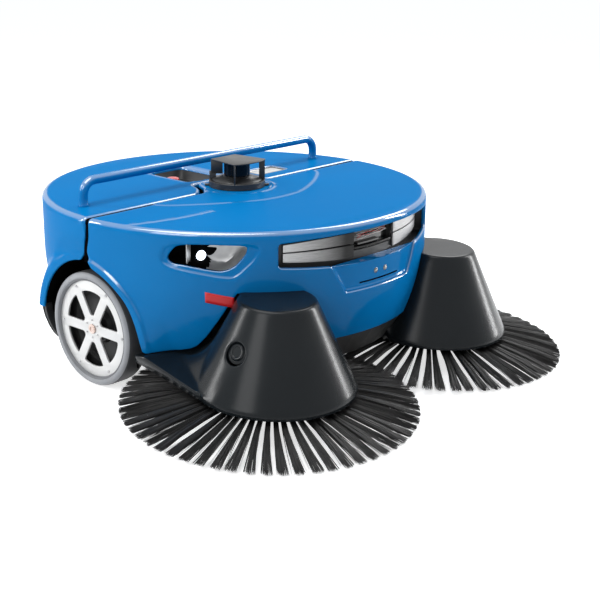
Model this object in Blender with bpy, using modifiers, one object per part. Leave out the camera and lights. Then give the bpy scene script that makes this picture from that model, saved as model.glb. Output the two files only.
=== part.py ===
"""Robotic floor cleaner: a round sweeping robot with two cone-covered side brushes.

Metres, +Z up, front towards -Y.  Pieces are placed round the empty "body_centre",
which stands on the floor under the middle of the round body; the world origin is
on the floor under the middle of the whole machine.
Run with: blender --background --python part.py
"""
from math import atan, cos, hypot, pi, radians, sin

import bmesh
import bpy
from mathutils import Matrix, Vector

# ---------------------------------------------------------------- driving sizes
FIT = 0.0003                # clearance between pieces that seat on each other
RUN = 0.0004                # clearance of a turning or sliding piece
SIDES = (("left", -1), ("right", 1))

# round body
BODY_RADIUS = 0.400
BODY_TOP = 0.344
HOOD_WALL = 0.004
HOOD_EDGE = 0.010           # rounding of the top edge
TUCK = 0.026                # how far the wall draws in at the arch ends
TUCK_START = 0.240          # height where the wall starts to draw in
TUCK_POWER = 1.9
SEAM_GAP = 0.009            # between front and rear hood
BODY_STEPS = 48

# lower edges of the hoods
ARCH_END = 0.0997           # height of the front arch ends
FRONT_HEM = 0.117           # hem height between the two brush covers
REAR_HEM = 0.132
# front hood's hem over a brush arm and its fairing, as (y, height)
SIDE_HEM = ((-0.2830, 0.2300), (-0.2740, 0.2140), (-0.2651, 0.1971), (-0.2566, 0.1817),
            (-0.2475, 0.1670), (-0.2381, 0.1530), (-0.2277, 0.1385), (-0.2176, 0.1270),
            (-0.2095, 0.1190), (-0.1980, 0.1125), (-0.1795, 0.1075), (-0.1515, 0.1045),
            (-0.1150, 0.0975))

# drive wheels
WHEEL_RADIUS = 0.115
WHEEL_FACE = BODY_RADIUS - 0.021   # outer face of the tyre, from the middle
WHEEL_Y = 0.020
TYRE_WIDTH = 0.046
RIM_RADIUS = WHEEL_RADIUS - 0.019
DISC_THICKNESS = 0.004
DISC_RECESS = 0.007
AXLE_RADIUS = 0.009
ARCH_RADIUS = WHEEL_RADIUS + 0.023
ARCH_LIP_WIDTH = 0.022
LIP_STAND = 0.004           # how far the arch lip stands out of the body
LINER_WALL = 0.003
WELL_WALL_X = BODY_RADIUS - 0.0837  # inner wall of the wheel well

# side brushes
BRUSH_X = 0.2475
BRUSH_Y = -0.333
BRUSH_PLANE = 0.017         # height of the bristle tips on the brush axis
BRUSH_RADIUS = 0.2816
BRUSH_LEAN_FRONT = radians(3.3)
BRUSH_LEAN_SIDE = radians(0.95)
TUFTS = 24
TUFT_ROOT_RADIUS = 0.115
TUFT_WIDTH = 0.015
CROWN_THICKNESS = 0.008
CROWN_ROOT_HEIGHT = 0.032   # underside of the crown's ring above the tip plane
CROWN_BORE = 0.060
PLATE_RADIUS = 0.118
PLATE_THICKNESS = 0.012
BRUSH_SHAFT = 0.008

# brush covers
COVER_BASE = 0.040          # cover rim above the tip plane, along the brush axis
COVER_HEIGHT = 0.173
COVER_RIM_RADIUS = 0.1545
COVER_TOP_RADIUS = 0.0755
COVER_EDGE = 0.010
COVER_WALL = 0.004
COVER_FORWARD = 0.008       # the cover sits this far in front of the brush axis
COVER_INWARD = 0.002
COVER_RIM_BAND = 0.006      # upright band at the cover's rim
CAP_RADIUS = 0.022
CAP_HEIGHT = 0.098          # above the cover's rim
CAP_TURN = 89.0             # degrees from the front, outwards

# chassis
FLOOR_LOW = 0.060
FLOOR_THICKNESS = 0.005
PAN_RIM_RADIUS = BODY_RADIUS - 0.0235
PAN_WALL = 0.004
SKIRT_TOP_RADIUS = BODY_RADIUS - 0.0165
PAN_FLOOR_RADIUS = SKIRT_TOP_RADIUS - 0.0485

# roller brush
ROLLER_Y = 0.035
ROLLER_Z = 0.056
ROLLER_RADIUS = 0.055
ROLLER_ROOT = 0.026
ROLLER_HALF_LENGTH = 0.240
ROLLER_SHAFT = 0.008
ROLLER_STRIPS = 6
ROLLER_TWIST = radians(100)
TUNNEL_RADIUS = 0.0625
TUNNEL_WALL = 0.0035
TUNNEL_HALF_LENGTH = 0.250
MOUTH_LOW = 0.072
MOUTH_HIGH = 0.106
MOUTH_HALF_WIDTH = 0.185

# roller drive
PULLEY_RADIUS = 0.017
PULLEY_WIDTH = 0.010
PULLEY_X = -0.2595
BELT_THICKNESS = 0.003
ROLLER_MOTOR_Y = -0.062
ROLLER_MOTOR_Z = 0.112
ROLLER_MOTOR_RADIUS = 0.024

# hopper, filter, batteries
HOPPER_HALF_WIDTH = 0.200
HOPPER_BACK = 0.228
HOPPER_TOP = 0.262
HOPPER_WALL = 0.003
FILTER_HEIGHT = 0.022
PLEATS = 20
BATTERY_GAP = 0.012
BATTERY_SIZE = (0.113, 0.066, 0.150)

# scanner
SCANNER_Y = -0.004
SCANNER_RADIUS = 0.059
SCANNER_BAND = 0.0145
SCANNER_CONE_TOP = BODY_TOP + 0.024
WINDOW_RADIUS = 0.0235
GUARD_TOP = BODY_TOP + 0.0573
GUARD_PLATE = 0.0025
BLADE = 0.003

# handle bar
HANDLE_RADIUS = 0.009
HANDLE_HALF_WIDTH = BODY_RADIUS - 0.062
HANDLE_Y = 0.083
HANDLE_RISE = 0.048         # middle of the bar above the roof
HANDLE_HEIGHT = BODY_TOP + HANDLE_RISE
HANDLE_BEND = 0.028

# top recess and display of the rear hood
RECESS_CENTRE = (0.005, 0.162)
RECESS_SIZE = (0.110, 0.148)
RECESS_CORNER = 0.020
RECESS_FLOOR = BODY_TOP - 0.028
STOP_CENTRE = (-0.016, 0.178)
STOP_TRAVEL = 0.005
DISPLAY_CENTRE = (0.1635, 0.0675)
DISPLAY_SIZE = (0.091, 0.051)

# front sensor slot and dock recess
SLOT_HALF_ANGLE = 34.0
SLOT_LOW = 0.266
SLOT_HIGH = 0.3295
SLOT_LOW_RISE = 0.010       # the lower edge rises by this towards the ends
SLOT_HIGH_DROP = 0.0090     # the upper edge drops by this towards the ends
SLOT_DEPTH_RADIUS = BODY_RADIUS - 0.0265
CAMERA_HALF_ANGLE = 8.6
CAMERA_BACK_RADIUS = SLOT_DEPTH_RADIUS - 0.0215
CAMERA_LOW = 0.283
CAMERA_HIGH = 0.318
DOCK_TOP_HALF = 0.127
DOCK_LOW_HALF = 0.0965
DOCK_LOW = 0.213
DOCK_FLOOR_RADIUS = BODY_RADIUS - 0.019
DOCK_SLOPE = 0.014
CONTACT_X = 0.014
CONTACT_Z = 0.245
CONTACT_RADIUS = 0.0035

# headlights
LAMP_ANGLE = 53.0
LAMP_DEPTH_RADIUS = BODY_RADIUS - 0.055
LAMP_Z = 0.301

# swivel caster
CASTER_Y = 0.285
CASTER_TRAIL = 0.022
CASTER_RADIUS = 0.025
CASTER_WIDTH = 0.020
KINGPIN_RADIUS = 0.006

# hood hinge
HINGE_Y = BODY_RADIUS - 0.0185
HINGE_Z = 0.1318
KNUCKLE_RADIUS = 0.004
HINGE_X = 0.030
HINGE_PIN = 0.002

FRONT_REACH = -BRUSH_Y + BRUSH_RADIUS * cos(BRUSH_LEAN_FRONT)
CENTRE_Y = (FRONT_REACH - BODY_RADIUS) / 2     # the body's centre from the origin

# ---------------------------------------------------------------- a clean scene
for leftover in list(bpy.data.objects):
    bpy.data.objects.remove(leftover, do_unlink=True)

parts = bpy.data.collections.new("robotic_floor_cleaner")
cutters = bpy.data.collections.new("cutters")
for group in (parts, cutters):
    bpy.context.scene.collection.children.link(group)

body_centre = bpy.data.objects.new("body_centre", None)
body_centre.location = (0, CENTRE_Y, 0)
parts.objects.link(body_centre)


# ---------------------------------------------------------------- materials
def material(name, colour, roughness, metallic=0.0):
    made = bpy.data.materials.new(name)
    made.use_nodes = True
    shader = made.node_tree.nodes["Principled BSDF"]
    shader.inputs["Base Color"].default_value = (*colour, 1)
    shader.inputs["Roughness"].default_value = roughness
    shader.inputs["Metallic"].default_value = metallic
    made.diffuse_color = (*colour, 1)
    return made


blue_paint = material("blue_paint", (0.014, 0.230, 0.600), 0.22)
cover_plastic = material("cover_plastic", (0.030, 0.034, 0.038), 0.38)
black_plastic = material("black_plastic", (0.012, 0.012, 0.013), 0.50)
gloss_black = material("gloss_black", (0.006, 0.006, 0.008), 0.08)
tyre_rubber = material("tyre_rubber", (0.080, 0.085, 0.092), 0.70)
disc_metal = material("disc_metal", (0.760, 0.760, 0.760), 0.32, 0.9)
satin_metal = material("satin_metal", (0.480, 0.480, 0.480), 0.35, 0.9)
zinc_steel = material("zinc_steel", (0.550, 0.550, 0.560), 0.35, 1.0)
bristle_nylon = material("bristle_nylon", (0.010, 0.010, 0.011), 0.60)
contact_brass = material("contact_brass", (0.780, 0.620, 0.350), 0.30, 1.0)
stop_red = material("stop_red", (0.620, 0.020, 0.020), 0.35)
lamp_lens = material("lamp_lens", (0.850, 0.870, 0.900), 0.10)
filter_paper = material("filter_paper", (0.700, 0.680, 0.600), 0.85)


# ---------------------------------------------------------------- tools for the shapes
def add_object(name, mesh, finish, parent=body_centre):
    """A part, or a cutter when it has no finish."""
    made = bpy.data.objects.new(name, mesh)
    made.parent = parent
    if finish is None:
        cutters.objects.link(made)
        made.hide_render = True
        made.display_type = "WIRE"
    else:
        parts.objects.link(made)
        mesh.materials.append(finish)
    return made


def from_bmesh(name, bm, finish, parent=body_centre):
    bmesh.ops.recalc_face_normals(bm, faces=bm.faces)
    mesh = bpy.data.meshes.new(name)
    bm.to_mesh(mesh)
    bm.free()
    mesh.shade_smooth()
    mesh.set_sharp_from_angle(angle=radians(30))
    return add_object(name, mesh, finish, parent)


def turned(name, profile, finish=None, steps=48, closed=False, parent=body_centre):
    """Turn a (radius, height) profile, listed down its outer side, about local Z."""
    mesh = bpy.data.meshes.new(name)
    edges = [(i, i + 1) for i in range(len(profile) - 1)]
    if closed:
        edges.append((len(profile) - 1, 0))
    mesh.from_pydata([(r, 0, z) for r, z in profile], edges, [])
    made = add_object(name, mesh, finish, parent)
    screw = made.modifiers.new("turn", "SCREW")
    screw.steps = screw.render_steps = steps
    screw.use_merge_vertices = True
    screw.merge_threshold = 1e-5
    screw.use_smooth_shade = True
    return made


def lay_on_x(made, side=1, at=(0, 0, 0)):
    """Turn a turned piece's axis from Z to the side's outward X direction."""
    made.location = at
    made.rotation_euler = (0, side * pi / 2, 0)
    return made


def cylinder(name, radius, low, high, finish=None, steps=48, parent=body_centre):
    profile = [(0, high), (radius, high), (radius, low), (0, low)]
    return turned(name, profile, finish, steps, parent=parent)


def ring(name, outer, inner, low, high, finish=None, steps=48, parent=body_centre):
    profile = [(outer, high), (outer, low), (inner, low), (inner, high)]
    return turned(name, profile, finish, steps, closed=True, parent=parent)


def box(name, low, high, finish=None, edge=0.0, parent=body_centre):
    bm = bmesh.new()
    bmesh.ops.create_cube(bm, size=1)
    size = Vector(high) - Vector(low)
    middle = (Vector(high) + Vector(low)) / 2
    bmesh.ops.scale(bm, vec=size, verts=bm.verts)
    bmesh.ops.translate(bm, vec=middle, verts=bm.verts)
    if edge:
        bmesh.ops.bevel(bm, geom=bm.edges[:], offset=edge, segments=2, profile=0.5,
                        affect="EDGES", material=-1)
    return from_bmesh(name, bm, finish, parent)


TO_Z = Matrix.Identity(4)                                             # outline in X, Y
TO_Y = Matrix(((1, 0, 0, 0), (0, 0, 1, 0), (0, 1, 0, 0), (0, 0, 0, 1)))    # in X, Z
TO_X = Matrix(((0, 0, 1, 0), (1, 0, 0, 0), (0, 1, 0, 0), (0, 0, 0, 1)))    # in Y, Z


def inset_face(face, distance):
    """Draw a lone face's edges in by a distance, or out when it is negative."""
    face.normal_update()
    flip = 1 if face.normal.z > 0 else -1
    corners = [loop.vert for loop in face.loops]
    moved = []
    for i, vert in enumerate(corners):
        before = (vert.co - corners[i - 1].co).normalized()
        after = (corners[(i + 1) % len(corners)].co - vert.co).normalized()
        out_before = Vector((before.y, -before.x, 0)) * flip
        out_after = Vector((after.y, -after.x, 0)) * flip
        way = (out_before + out_after).normalized()
        moved.append(vert.co - way * distance / way.dot(out_before))
    for vert, co in zip(corners, moved):
        vert.co = co


def prism(name, outline, low, high, finish=None, corner=0.0, inset=0.0, taper=0.0,
          frame=TO_Z, segments=4, parent=body_centre):
    """Extrude an outline; its corners can be rounded and its far face drawn in."""
    bm = bmesh.new()
    face = bm.faces.new([bm.verts.new((x, y, low)) for x, y in outline])
    if inset:
        inset_face(face, inset)
    grown = bmesh.ops.extrude_face_region(bm, geom=[face])
    top = [v for v in grown["geom"] if isinstance(v, bmesh.types.BMVert)]
    bmesh.ops.translate(bm, vec=(0, 0, high - low), verts=top)
    if corner:
        upright = [e for e in bm.edges
                   if abs(e.verts[0].co.z - e.verts[1].co.z) > abs(high - low) / 2]
        bmesh.ops.bevel(bm, geom=upright, offset=corner, segments=segments,
                        profile=0.5, affect="EDGES", material=-1)
    if taper:
        bm.faces.ensure_lookup_table()
        far = [f for f in bm.faces
               if all(abs(v.co.z - high) < 1e-6 for v in f.verts)]
        middle = sum((v.co for v in far[0].verts), Vector()) / len(far[0].verts)
        for vert in far[0].verts:
            away = vert.co - middle
            vert.co = middle + away * (1 - taper / away.length)
    bmesh.ops.transform(bm, matrix=frame, verts=bm.verts)
    return from_bmesh(name, bm, finish, parent)


def rounded_outline(centre, size, grow=0.0):
    half_x = size[0] / 2 + grow
    half_y = size[1] / 2 + grow
    return [(centre[0] - half_x, centre[1] - half_y), (centre[0] + half_x, centre[1] - half_y),
            (centre[0] + half_x, centre[1] + half_y), (centre[0] - half_x, centre[1] + half_y)]


def on_body(radius, azimuth, z):
    """A point by its azimuth in degrees from the front, positive towards +X."""
    angle = radians(azimuth)
    return Vector((radius * sin(angle), -radius * cos(angle), z))


def swept(name, profile, start, end, steps, finish=None, bow=None, corner=0.0,
          parent=body_centre):
    """Spin a closed (radius, height) profile about the body's axis between azimuths.

    bow(azimuth, height) gives the height that a point gets at an azimuth."""
    bm = bmesh.new()
    face = bm.faces.new([bm.verts.new(on_body(r, start, z)) for r, z in profile])
    bmesh.ops.spin(bm, geom=[face] + face.edges[:] + face.verts[:], cent=(0, 0, 0),
                   axis=(0, 0, 1), angle=radians(end - start), steps=steps)
    bmesh.ops.remove_doubles(bm, verts=bm.verts, dist=1e-6)
    if bow:
        for vert in bm.verts:
            angle = (Vector((0, -1)).angle_signed(vert.co.xy, 0.0)) * 180 / pi
            vert.co.z = bow(angle, vert.co.z)
    if corner:
        radial = [e for e in bm.edges
                  if len(e.link_faces) == 2 and e.calc_face_angle(0) > 1.2
                  and abs(e.verts[0].co.z - e.verts[1].co.z) < 1e-4
                  and abs(e.verts[0].co.xy.length - e.verts[1].co.xy.length) > 0.01]
        bmesh.ops.bevel(bm, geom=radial, offset=corner, segments=3, profile=0.5,
                        affect="EDGES", material=-1)
    return from_bmesh(name, bm, finish, parent)


def block_profile(inner, outer, low, high):
    return [(inner, low), (outer, low), (outer, high), (inner, high)]


def boolean(target, tools, operation):
    for tool in tools:
        step = target.modifiers.new(f"{operation.lower()}_{tool.name}", "BOOLEAN")
        step.operation = operation
        step.solver = "EXACT"
        step.object = tool
    return target


def cut(target, *tools):
    return boolean(target, tools, "DIFFERENCE")


def join(target, *tools):
    return boolean(target, tools, "UNION")


def keep(target, *tools):
    return boolean(target, tools, "INTERSECT")


# ---------------------------------------------------------------- shared lines of the body
def wall_radius(z):
    """Outer radius of the hood wall at a height."""
    drop = max(0.0, TUCK_START - z) / (TUCK_START - ARCH_END)
    return BODY_RADIUS - TUCK * drop ** TUCK_POWER


def outer_profile(low, inward=0.0):
    """Outer surface of the hoods from the middle of the top down to a height."""
    edge = HOOD_EDGE - inward
    turns = (0, pi / 4, pi / 2) if inward else (0, pi / 6, pi / 3, pi / 2)
    arc = [(BODY_RADIUS - inward - edge * (1 - sin(t)), BODY_TOP - inward - edge * (1 - cos(t)))
           for t in turns]
    heights = [TUCK_START] + [z for z in (0.195, 0.155, 0.125) if z > low + 0.01] + [low]
    return [(0, BODY_TOP - inward)] + arc + [(wall_radius(z) - inward, z) for z in heights]


def wall_profile(low):
    """Profile of the hood shell down to a height, outside then inside."""
    return outer_profile(low) + outer_profile(low, HOOD_WALL)[::-1]


def tongue(y, grow):
    """The front hood's tongue that carries the scanner, from +X to -X."""
    right = [(0.098 + grow, y), (0.062 + grow, 0.030 + grow), (0.048 + grow, 0.066 + grow)]
    return right + [(-px, py) for px, py in reversed(right)]


REACH = BODY_RADIUS + 0.06        # past every side of the body, for regions and cutters
UNDER = -0.12                     # below everything


# ---------------------------------------------------------------- cutters used by several pieces
def wheel_cylinder(name, side, radius, inner, outer, steps=48):
    made = cylinder(name, radius, inner, outer, steps=steps)
    return lay_on_x(made, side, (0, WHEEL_Y, WHEEL_RADIUS))


arch_holes = [wheel_cylinder(f"arch_hole_{s}", d, ARCH_RADIUS + 0.002, BODY_RADIUS - 0.150,
                              BODY_RADIUS + 0.050, 41)
              for s, d in SIDES]

lip_limit = cylinder("lip_limit", BODY_RADIUS + LIP_STAND, ARCH_END - 0.02, TUCK_START + 0.08,
                     steps=BODY_STEPS)
body_inside = turned("body_inside", outer_profile(0.06, HOOD_WALL + 0.0005) + [(0, 0.06)],
                     steps=BODY_STEPS)
cut(body_inside, *[wheel_cylinder(f"lip_tube_{s}", d, ARCH_RADIUS + HOOD_WALL, BODY_RADIUS - 0.090,
                               BODY_RADIUS + 0.050, 45)
                   for s, d in SIDES])
arch_lips = []
for side_name, side in SIDES:
    lip_outer = ARCH_RADIUS + ARCH_LIP_WIDTH
    lip = turned(f"arch_lip_{side_name}",
                 [(lip_outer, BODY_RADIUS + 0.020), (lip_outer + 0.038, BODY_RADIUS - 0.075),
                  (ARCH_RADIUS, BODY_RADIUS - 0.075),
                  (ARCH_RADIUS, BODY_RADIUS + 0.020)], steps=48, closed=True)
    keep(lay_on_x(lip, side, (0, WHEEL_Y, WHEEL_RADIUS)), lip_limit)
    cut(lip, body_inside)
    arch_lips.append(lip)

brush_axes = {}
for side_name, side in SIDES:
    axis = bpy.data.objects.new(f"side_brush_axis_{side_name}", None)
    axis.parent = body_centre
    axis.location = (side * BRUSH_X, BRUSH_Y, BRUSH_PLANE)
    axis.rotation_euler = (BRUSH_LEAN_FRONT, side * BRUSH_LEAN_SIDE, 0)
    parts.objects.link(axis)
    brush_axes[side_name] = axis


def cover_radius(height, grow=0.0):
    """Outer radius of the brush cover at a height above its rim."""
    share = max(0.0, height - COVER_RIM_BAND) / (COVER_HEIGHT - COVER_RIM_BAND)
    return COVER_RIM_RADIUS + grow - (COVER_RIM_RADIUS - COVER_TOP_RADIUS) * share


def cover_profile(grow, skirt=0.0):
    """The cover's outside grown by a distance, and drawn down by skirt below its rim."""
    top = COVER_BASE + COVER_HEIGHT + grow
    radius = COVER_TOP_RADIUS + grow
    edge = max(COVER_EDGE + grow, 0.002)
    lean = atan((COVER_RIM_RADIUS - COVER_TOP_RADIUS) / COVER_HEIGHT)
    arc = []
    for i in range(4):
        t = (pi / 2 - lean) * i / 3
        arc.append((radius - edge + edge * sin(t), top - edge + edge * cos(t)))
    rim = cover_radius(0, grow)
    return [(0, top)] + arc + [(rim, COVER_BASE + COVER_RIM_BAND), (rim, COVER_BASE - skirt),
                               (0, COVER_BASE - skirt)]


def cover_solid(name, side_name, side, grow, skirt=0.0, finish=None, steps=30):
    made = turned(name, cover_profile(grow, skirt), finish, steps, parent=brush_axes[side_name])
    made.location = (-side * COVER_INWARD, -COVER_FORWARD, 0)
    return made


cover_keepouts = [cover_solid(f"cover_keepout_{s}", s, d, 0.0012, 0.060) for s, d in SIDES]

# outline of a brush arm, from its outer front corner round to its inner front corner
ARM_OUTLINE = [(0.3975, -0.340), (0.3885, -0.130), (0.3800, -0.120), (0.3020, -0.120),
               (0.1280, -0.250), (0.1050, -0.290), (0.2000, -0.340)]
ARM_UNDERSIDE = ((0, -0.146, 0.080), (0, 0.137, -1))

# fairing between cover and arm: height above the cover's rim, distance out from the cone
FAIRING = ((0.154, -0.0030), (0.137, 0.0010), (0.106, 0.0050), (0.080, 0.0094),
           (0.064, 0.0145), (0.052, 0.0225), (0.0435, 0.0350), (0.039, 0.0575), (0.033, 0.1200))


def plate_planes(drop):
    """Planes over an arm's plate: under the hood's hem, and falling outwards and forwards."""
    return [((0, -0.115, ARCH_END - 0.0042 - drop), (0, 0.190, 1)),
            ((0.390, -0.146, 0.098 - drop), (0.200, -0.181, 1))]


def fairing_planes(drop):
    """Plane that brings the fairing down to the arm's outer edge."""
    return [((0.3803, -0.2767, 0.072 - drop), (1.570, 0.444, 1))]


def arm_block(name, side, outline, inset, low, planes):
    """An outline drawn in by inset, standing on low, as tall as the fairing, cut by planes."""
    bm = bmesh.new()
    face = bm.faces.new([bm.verts.new((x, y, low)) for x, y in outline])
    if inset:
        inset_face(face, inset)
    grown = bmesh.ops.extrude_face_region(bm, geom=[face])
    top = [v for v in grown["geom"] if isinstance(v, bmesh.types.BMVert)]
    bmesh.ops.translate(bm, vec=(0, 0, TUCK_START - low), verts=top)
    for point, normal in planes:
        halved = bmesh.ops.bisect_plane(bm, geom=bm.verts[:] + bm.edges[:] + bm.faces[:],
                                        plane_co=point, plane_no=Vector(normal).normalized(),
                                        clear_outer=True)
        rim = [e for e in halved["geom_cut"] if isinstance(e, bmesh.types.BMEdge)]
        bmesh.ops.holes_fill(bm, edges=rim, sides=0)
    if side < 0:
        bmesh.ops.scale(bm, vec=(-1, 1, 1), verts=bm.verts)
    return from_bmesh(name, bm, None)


def arm_solid(name, side_name, side, inset, drop, underside):
    """The arm's plate with the fairing up to the cover, its top lowered by drop."""
    around = [(0.05, -0.42), (0.45, -0.42), (0.45, -0.10), (0.05, -0.10)]
    plate = arm_block(name, side, around, 0, -0.03, plate_planes(drop))
    profile = [(cover_radius(h) + out - drop, COVER_BASE + h - drop / 2) for h, out in FAIRING]
    flare = turned(f"{name}_flare", [(0, profile[0][1])] + profile
                   + [(profile[-1][0], -0.08), (0, -0.08)], steps=28, parent=brush_axes[side_name])
    flare.location = (-side * COVER_INWARD, -COVER_FORWARD, 0)
    keep(flare, arm_block(f"{name}_slope", side, around, 0.002, -0.05, fairing_planes(drop * 1.8)))
    join(plate, flare)
    return keep(plate, arm_block(f"{name}_outline", side, ARM_OUTLINE, inset, UNDER, underside))


arm_keepouts = [arm_block(f"arm_keepout_{s}", d, ARM_OUTLINE, 0, UNDER, []) for s, d in SIDES]


def slot_bow(azimuth, z):
    """Follow the slot's edges: its lower edge rises and its upper edge drops to the ends."""
    share = (azimuth / SLOT_HALF_ANGLE) ** 2
    middle = (SLOT_LOW + SLOT_HIGH) / 2
    return z + SLOT_LOW_RISE * share if z < middle else z - SLOT_HIGH_DROP * share


def slot_block(name, inner, outer, margin, angle, finish=None, corner=0.0, steps=16):
    profile = block_profile(inner, outer, SLOT_LOW - margin, SLOT_HIGH + margin)
    return swept(name, profile, -angle, angle, steps, finish, slot_bow, corner)


dock_outline = [(-DOCK_LOW_HALF, DOCK_LOW), (DOCK_LOW_HALF, DOCK_LOW),
                (DOCK_TOP_HALF, SLOT_LOW + 0.006), (-DOCK_TOP_HALF, SLOT_LOW + 0.006)]

# headlight opening, seen from outside the right side: along the wall, then height
LAMP_OUTLINE = [(0.074, 0.292), (0.058, 0.3165), (-0.060, 0.3195), (-0.078, 0.310),
                (-0.050, 0.2790), (-0.026, 0.2705), (0.050, 0.2825)]


def lamp_prism(name, side, near, far, grow=0.0):
    """The headlight opening's outline, run along the lamp's own radial direction."""
    outline = [(-side * t, z) for t, z in LAMP_OUTLINE]
    made = prism(name, outline, near, far, corner=0.006, inset=-grow, frame=TO_Y, segments=3)
    made.rotation_euler = (0, 0, pi + side * radians(LAMP_ANGLE))
    return made


# ---------------------------------------------------------------- front and rear hood
def seam_region(name, front):
    """Plan outline of what belongs to the front or the rear hood."""
    half = SEAM_GAP / 2
    if front:
        outline = [(-REACH, -REACH), (REACH, -REACH), (REACH, -half)] + tongue(-half, 0)
        outline += [(-REACH, -half)]
    else:
        outline = [(REACH, REACH), (-REACH, REACH), (-REACH, half)]
        outline += [(-px, py) for px, py in tongue(half, SEAM_GAP)]
        outline += [(REACH, half)]
    return prism(name, outline, UNDER, 0.5)


def make_front_hood():
    hood = turned("front_hood", wall_profile(ARCH_END - 0.006), blue_paint, BODY_STEPS)
    cut(hood, *arch_holes)
    join(hood, *arch_lips)
    keep(hood, seam_region("front_region", True))
    front_end = SIDE_HEM[0][0] - 0.012
    hem = prism("front_hem", [(-REACH, UNDER), (-REACH, FRONT_HEM), (front_end, FRONT_HEM),
                              (front_end, SIDE_HEM[0][1]), *SIDE_HEM, (0.05, SIDE_HEM[-1][1]),
                              (0.05, UNDER)], -REACH, REACH, frame=TO_X)
    deep, clear = BODY_RADIUS - 0.060, BODY_RADIUS + 0.030
    slot = slot_block("slot_cut", deep, clear, 0, SLOT_HALF_ANGLE, corner=0.009)
    dock = prism("dock_cut", dock_outline, -clear, -deep, corner=0.007, frame=TO_Y)
    lamps = [lamp_prism(f"lamp_cut_{s}", d, deep, clear) for s, d in SIDES]
    cut(hood, hem, slot, dock, *lamps, *cover_keepouts)
    return hood


def make_rear_hood():
    hood = turned("rear_hood", wall_profile(REAR_HEM - 0.002), blue_paint, BODY_STEPS)
    cut(hood, *arch_holes)
    join(hood, *arch_lips)
    keep(hood, seam_region("rear_region", False))
    hem = box("rear_hem", (-REACH, -0.05, UNDER), (REACH, REACH, REAR_HEM))
    under, above = BODY_TOP - 0.014, BODY_TOP + 0.006
    recess = prism("recess_cut", rounded_outline(RECESS_CENTRE, RECESS_SIZE), under, above,
                   corner=RECESS_CORNER, segments=6)
    display = prism("display_cut", rounded_outline(DISPLAY_CENTRE, DISPLAY_SIZE), under, above,
                    corner=0.012)
    notch = lay_on_x(cylinder("hinge_notch", KNUCKLE_RADIUS + 0.0016, -0.058, 0.058, steps=20),
                     1, (0, HINGE_Y, HINGE_Z))
    cut(hood, hem, recess, display, notch)
    return hood, notch


front_hood = make_front_hood()
rear_hood, hinge_notch = make_rear_hood()


# ---------------------------------------------------------------- chassis
def make_chassis():
    floor_top = FLOOR_LOW + FLOOR_THICKNESS
    rim = FRONT_HEM - FIT * 2
    pan = turned("chassis_tray",
                 [(0, floor_top), (PAN_FLOOR_RADIUS, floor_top),
                  (PAN_RIM_RADIUS - PAN_WALL, rim), (PAN_RIM_RADIUS, rim),
                  (PAN_FLOOR_RADIUS + 0.010, FLOOR_LOW + 0.006), (PAN_FLOOR_RADIUS, FLOOR_LOW),
                  (0, FLOOR_LOW)], black_plastic, 44)
    tunnel = lay_on_x(cylinder("tunnel_outside", TUNNEL_RADIUS + TUNNEL_WALL,
                               -TUNNEL_HALF_LENGTH, TUNNEL_HALF_LENGTH, steps=28),
                      1, (0, ROLLER_Y, ROLLER_Z))
    keep(tunnel, box("above_floor", (-0.3, -0.1, FLOOR_LOW + 0.001), (0.3, 0.2, 0.2)))
    join(pan, tunnel)
    inside = lay_on_x(cylinder("tunnel_inside", TUNNEL_RADIUS,
                               -TUNNEL_HALF_LENGTH + TUNNEL_WALL,
                               TUNNEL_HALF_LENGTH - TUNNEL_WALL, steps=28),
                      1, (0, ROLLER_Y, ROLLER_Z))
    shaft_hole = lay_on_x(cylinder("shaft_hole", ROLLER_SHAFT + RUN, -0.3, 0.3, steps=24),
                          1, (0, ROLLER_Y, ROLLER_Z))
    mouth = box("tunnel_mouth", (-MOUTH_HALF_WIDTH, ROLLER_Y + 0.02, MOUTH_LOW),
                (MOUTH_HALF_WIDTH, ROLLER_Y + 0.10, MOUTH_HIGH))
    wells = [box(f"wheel_well_{s}", (min(d * (WELL_WALL_X - 0.0006), d * 0.45), -0.127, -0.01),
                 (max(d * (WELL_WALL_X - 0.0006), d * 0.45), 0.166, 0.2)) for s, d in SIDES]
    rear = swept("rear_rim_cut", block_profile(PAN_FLOOR_RADIUS - 0.0005, 0.42, 0.03, 0.2),
                 108, 252, 19)
    belt_slot = box("belt_slot", (PULLEY_X - 0.008, ROLLER_Y - 0.070, 0.05),
                    (PULLEY_X + 0.0075, ROLLER_Y + 0.024, 0.07))
    cut(pan, inside, shaft_hole, mouth, *wells, rear, belt_slot, *cover_keepouts, *arm_keepouts)
    return pan


def make_rear_skirt():
    outer = [(SKIRT_TOP_RADIUS, REAR_HEM - FIT * 2), (SKIRT_TOP_RADIUS - 0.003, 0.110),
             (SKIRT_TOP_RADIUS - 0.018, 0.083), (SKIRT_TOP_RADIUS - 0.038, 0.064),
             (PAN_FLOOR_RADIUS, FLOOR_LOW)]
    inner = [(PAN_FLOOR_RADIUS, FLOOR_LOW + 0.005), (SKIRT_TOP_RADIUS - 0.042, 0.068),
             (SKIRT_TOP_RADIUS - 0.022, 0.086), (SKIRT_TOP_RADIUS - 0.007, 0.111),
             (SKIRT_TOP_RADIUS - 0.004, REAR_HEM - FIT * 2)]
    skirt = swept("rear_skirt", outer + inner, 108, 252, 19, black_plastic)
    wells = [wheel_cylinder(f"skirt_well_{s}", d, ARCH_RADIUS, 0.30, 0.45, 48) for s, d in SIDES]
    return cut(skirt, hinge_notch, *wells)


chassis_tray = make_chassis()
rear_skirt = make_rear_skirt()

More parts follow.
